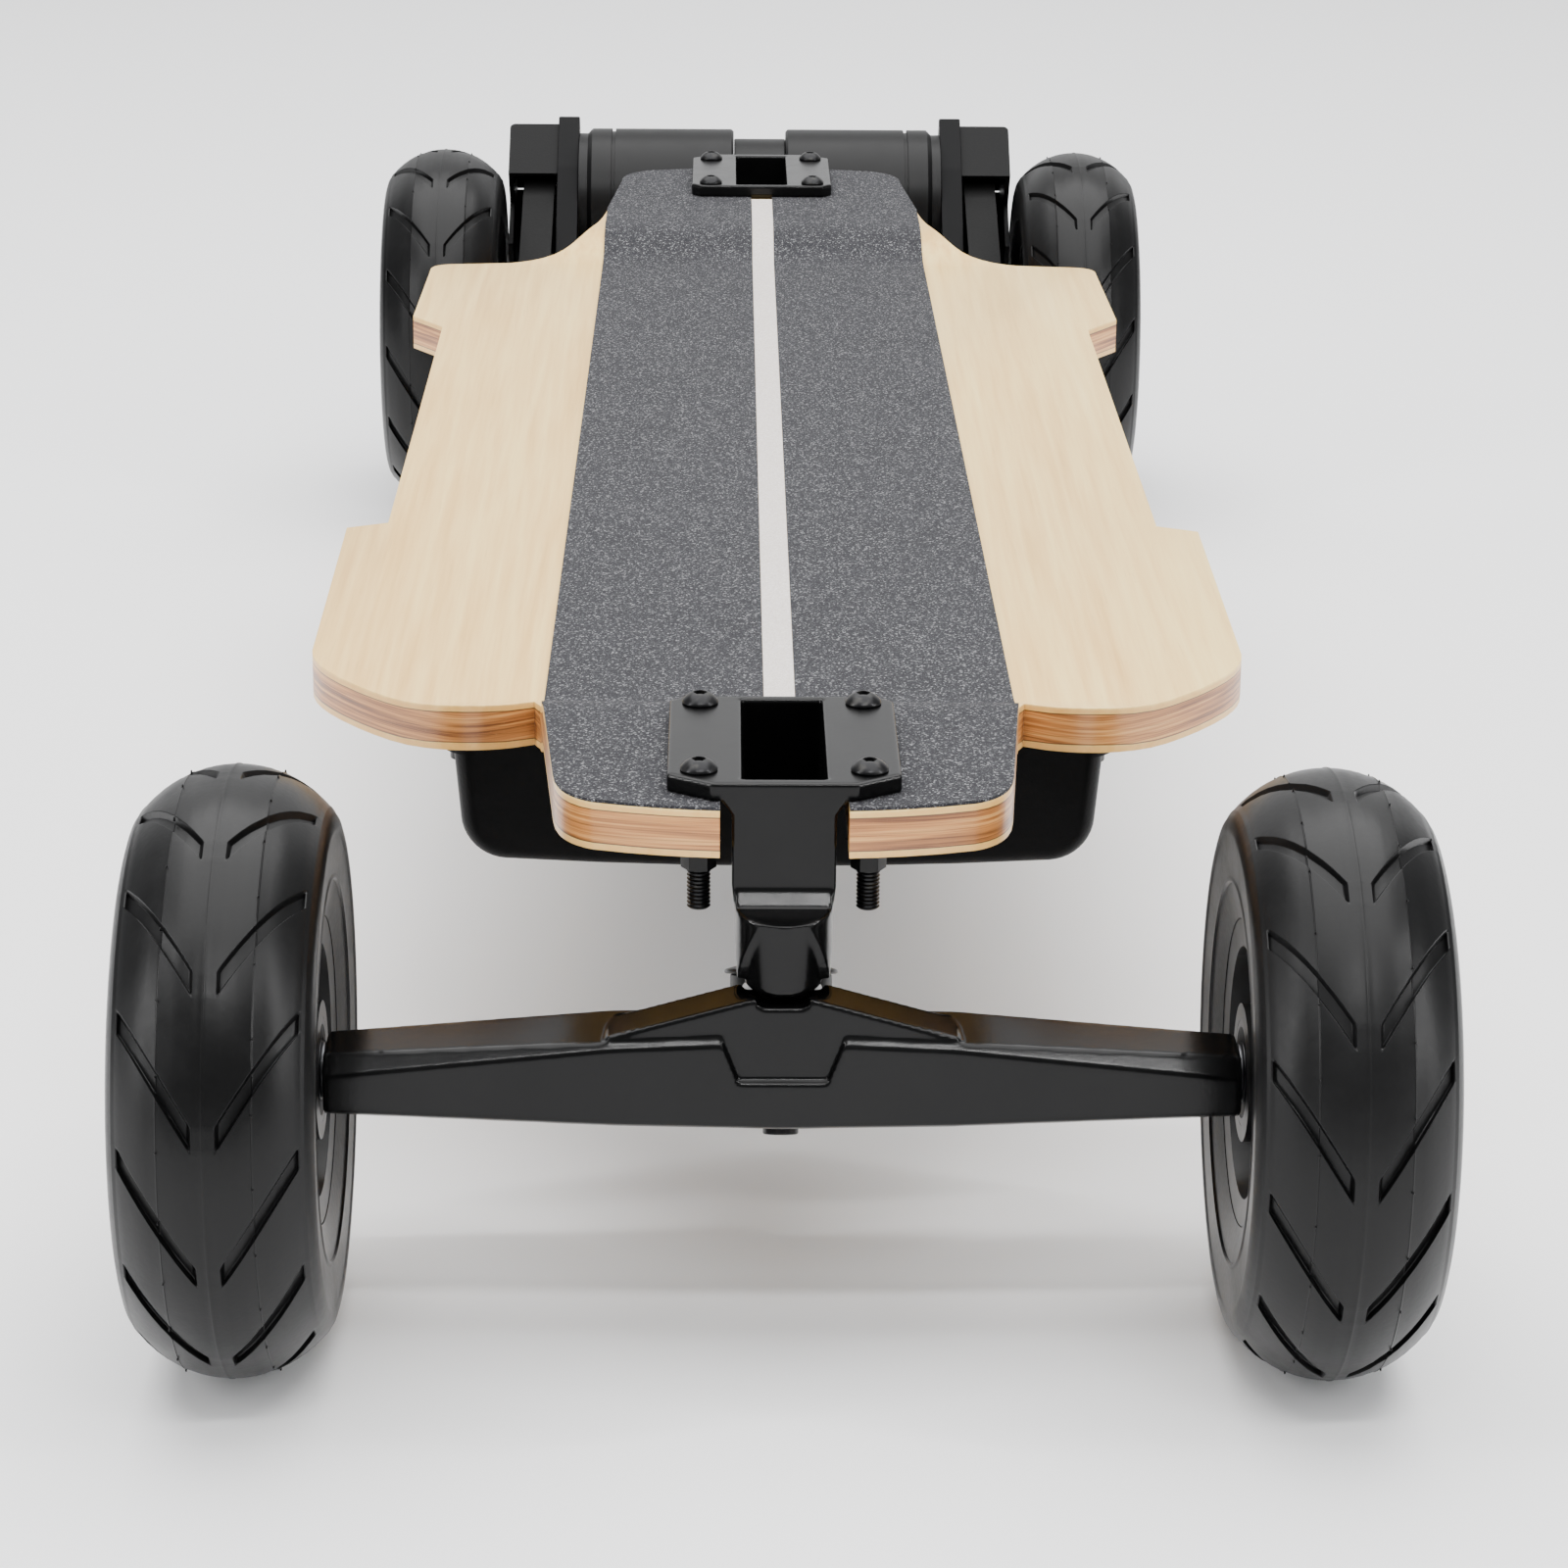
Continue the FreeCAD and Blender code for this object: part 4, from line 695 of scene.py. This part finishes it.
def make_tyre(wheel, start_angle):
    """A pneumatic tyre whose grooves point down at the front of the wheel."""
    half = tread_rows() + [(u, r, 0.0) for u, r in WALL]
    section = [(-u, r, share) for u, r, share in reversed(half[1:])] + half
    inner_crown = (0.0, TYRE_RADIUS - 5.6, 0.0)
    section.append(inner_crown)
    columns = tread_columns()
    centre = Vector(joints[wheel + "_spin"]["pos_m"])
    verts = []
    for angle, column_share in columns:
        for across, radius, row_share in section:
            deep = GROOVE_DEPTH * row_share * column_share
            turn = start_angle + angle + sweep_at(across)
            far = (radius - deep) * MM
            verts.append(centre + Vector((across * MM, -far * math.cos(turn), far * math.sin(turn))))
    rows = len(section)
    faces = []
    for column in range(len(columns)):
        following = (column + 1) % len(columns)
        for row in range(rows):
            above = (row + 1) % rows
            faces.append((column * rows + row, column * rows + above, following * rows + above,
                          following * rows + row))
    mesh = bpy.data.meshes.new(wheel + "_tread")
    mesh.from_pydata(verts, [], faces)
    outward_faces(mesh)
    shade_by_angle(mesh, 40.0)
    mesh = steady_normals(mesh)
    piece = add_piece(wheel + "_tyre_tread", mesh, "tyre", wheel + "_wheel")
    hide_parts(wheel + "_tyre")


def make_tyre_pips(wheel):
    """The small rubber pips the mould's vents leave along a tyre's parting lines."""
    count = 26
    along = 11.0
    pip = lathe("pip", [(0.0, -0.4 * MM), (0.3 * MM, -0.4 * MM), (0.22 * MM, 0.6 * MM), (0.0, 0.85 * MM)], 6)
    placed = []
    for across, shift in ((-along, 0.0), (along, math.pi / count)):
        single = pip.copy()
        single.transform(Matrix.Translation(Vector((across * MM, 0.0, crown_radius(along) * MM))))
        ring = repeated(single, "tyre", count, turn=(2 * math.pi / count, 0.0, 0.0))
        placed.append((ring, Matrix.Translation(Vector(joints[wheel + "_spin"]["pos_m"]))
                       @ Matrix.Rotation(shift, 4, "X")))
    shaped = bmesh.new()
    shaped.from_mesh(gathered(wheel + "_pips", placed))
    bmesh.ops.remove_doubles(shaped, verts=shaped.verts, dist=1e-6)
    bmesh.ops.recalc_face_normals(shaped, faces=shaped.faces)
    mesh = bpy.data.meshes.new(wheel + "_tyre_pips")
    shaped.to_mesh(mesh)
    shaped.free()
    shade_by_angle(mesh, 50.0)
    add_piece(wheel + "_tyre_pips", mesh, "tyre", wheel + "_wheel")


# ---------------------------------------------------------------- build

def build_board():
    finish_deck()
    for node in ("left_grip_sheet", "right_grip_sheet"):
        finish_node(node, "grip", 0.0)
    finish_node("centre_stripe", "stripe", 0.0)
    finish_node("deck_bolts", "oxide", 0.3)
    make_bolt_threads()
    finish_node("deck_lock_nuts", "nut", 0.3)
    finish_node("enclosure_shell", "case", 0.8, 2)
    finish_node("enclosure_screws", "oxide", 0.2)
    finish_node("kingpins", "oxide", 0.5)
    finish_node("kingpin_nuts", "oxide", 0.4)
    finish_node("cup_washers", "nut", 0.5)
    finish_node("pivot_cups", "bushing", 0.3)
    finish_node("charge_socket", "button", 0.2)
    finish_node("charge_socket_cap", "button", 0.3)
    finish_node("power_button", "button", 0.4)
    paint_node("battery_pack", "wrap")
    paint_node("motor_controller", "fins")


def build_trucks():
    for end in ("front", "rear"):
        finish_casting(end + "_baseplate", "cast", 0.55, 4)
        finish_casting(end + "_hanger", "cast", 0.65, 4)
        finish_node(end + "_bushings", "bushing", 0.6, 3)
        finish_node(end + "_axle", "steel", 0.4)
        finish_node(end + "_axle_spacers", "steel", 0.25)
        finish_node(end + "_axle_nuts", "oxide", 0.4)


def build_wheels():
    grooves_at_front = {"front_left": 9.5, "front_right": 0.5, "rear_left": 9.0, "rear_right": 20.0}
    for wheel, degrees in grooves_at_front.items():
        make_tyre(wheel, math.radians(degrees))
        make_tyre_pips(wheel)
        finish_node(wheel + "_rim", "rim", 0.6, 2)
        finish_node(wheel + "_bearings", "bearing", 0.2)
        make_bearing_seals(wheel)
        paint_node(wheel + "_inner_tube", "tube")


def build_drive():
    for wheel in ("rear_left", "rear_right"):
        finish_node(wheel + "_wheel_pulley", "pulley", 0.15, 1)
    for side in ("left", "right"):
        finish_node(side + "_motor_case", "motor", 0.6, 2)
        finish_node(side + "_motor_mount", "mount", 0.6, 2)
        finish_node(side + "_motor_pulley", "pulley", 0.1, 1)
        finish_node(side + "_motor_rotor", "pulley", 0.3)
        finish_node(side + "_belt", "belt", 0.3)
        finish_node(side + "_pulley_cover", "cover", 0.8, 3)
    finish_node("motor_sleeve", "motor", 0.5)


def build_floor():
    mesh = bpy.data.meshes.new("floor")
    reach = 8.0
    mesh.from_pydata([(-reach, -reach, 0), (reach, -reach, 0), (reach, reach, 0), (-reach, reach, 0)], [],
                     [(0, 1, 2, 3)])
    mesh.materials.append(floor_finish())
    floor = bpy.data.objects.new("floor", mesh)
    bpy.context.scene.collection.objects.link(floor)


set_camera()
set_light()
build_floor()
build_board()
build_trucks()
build_wheels()
build_drive()
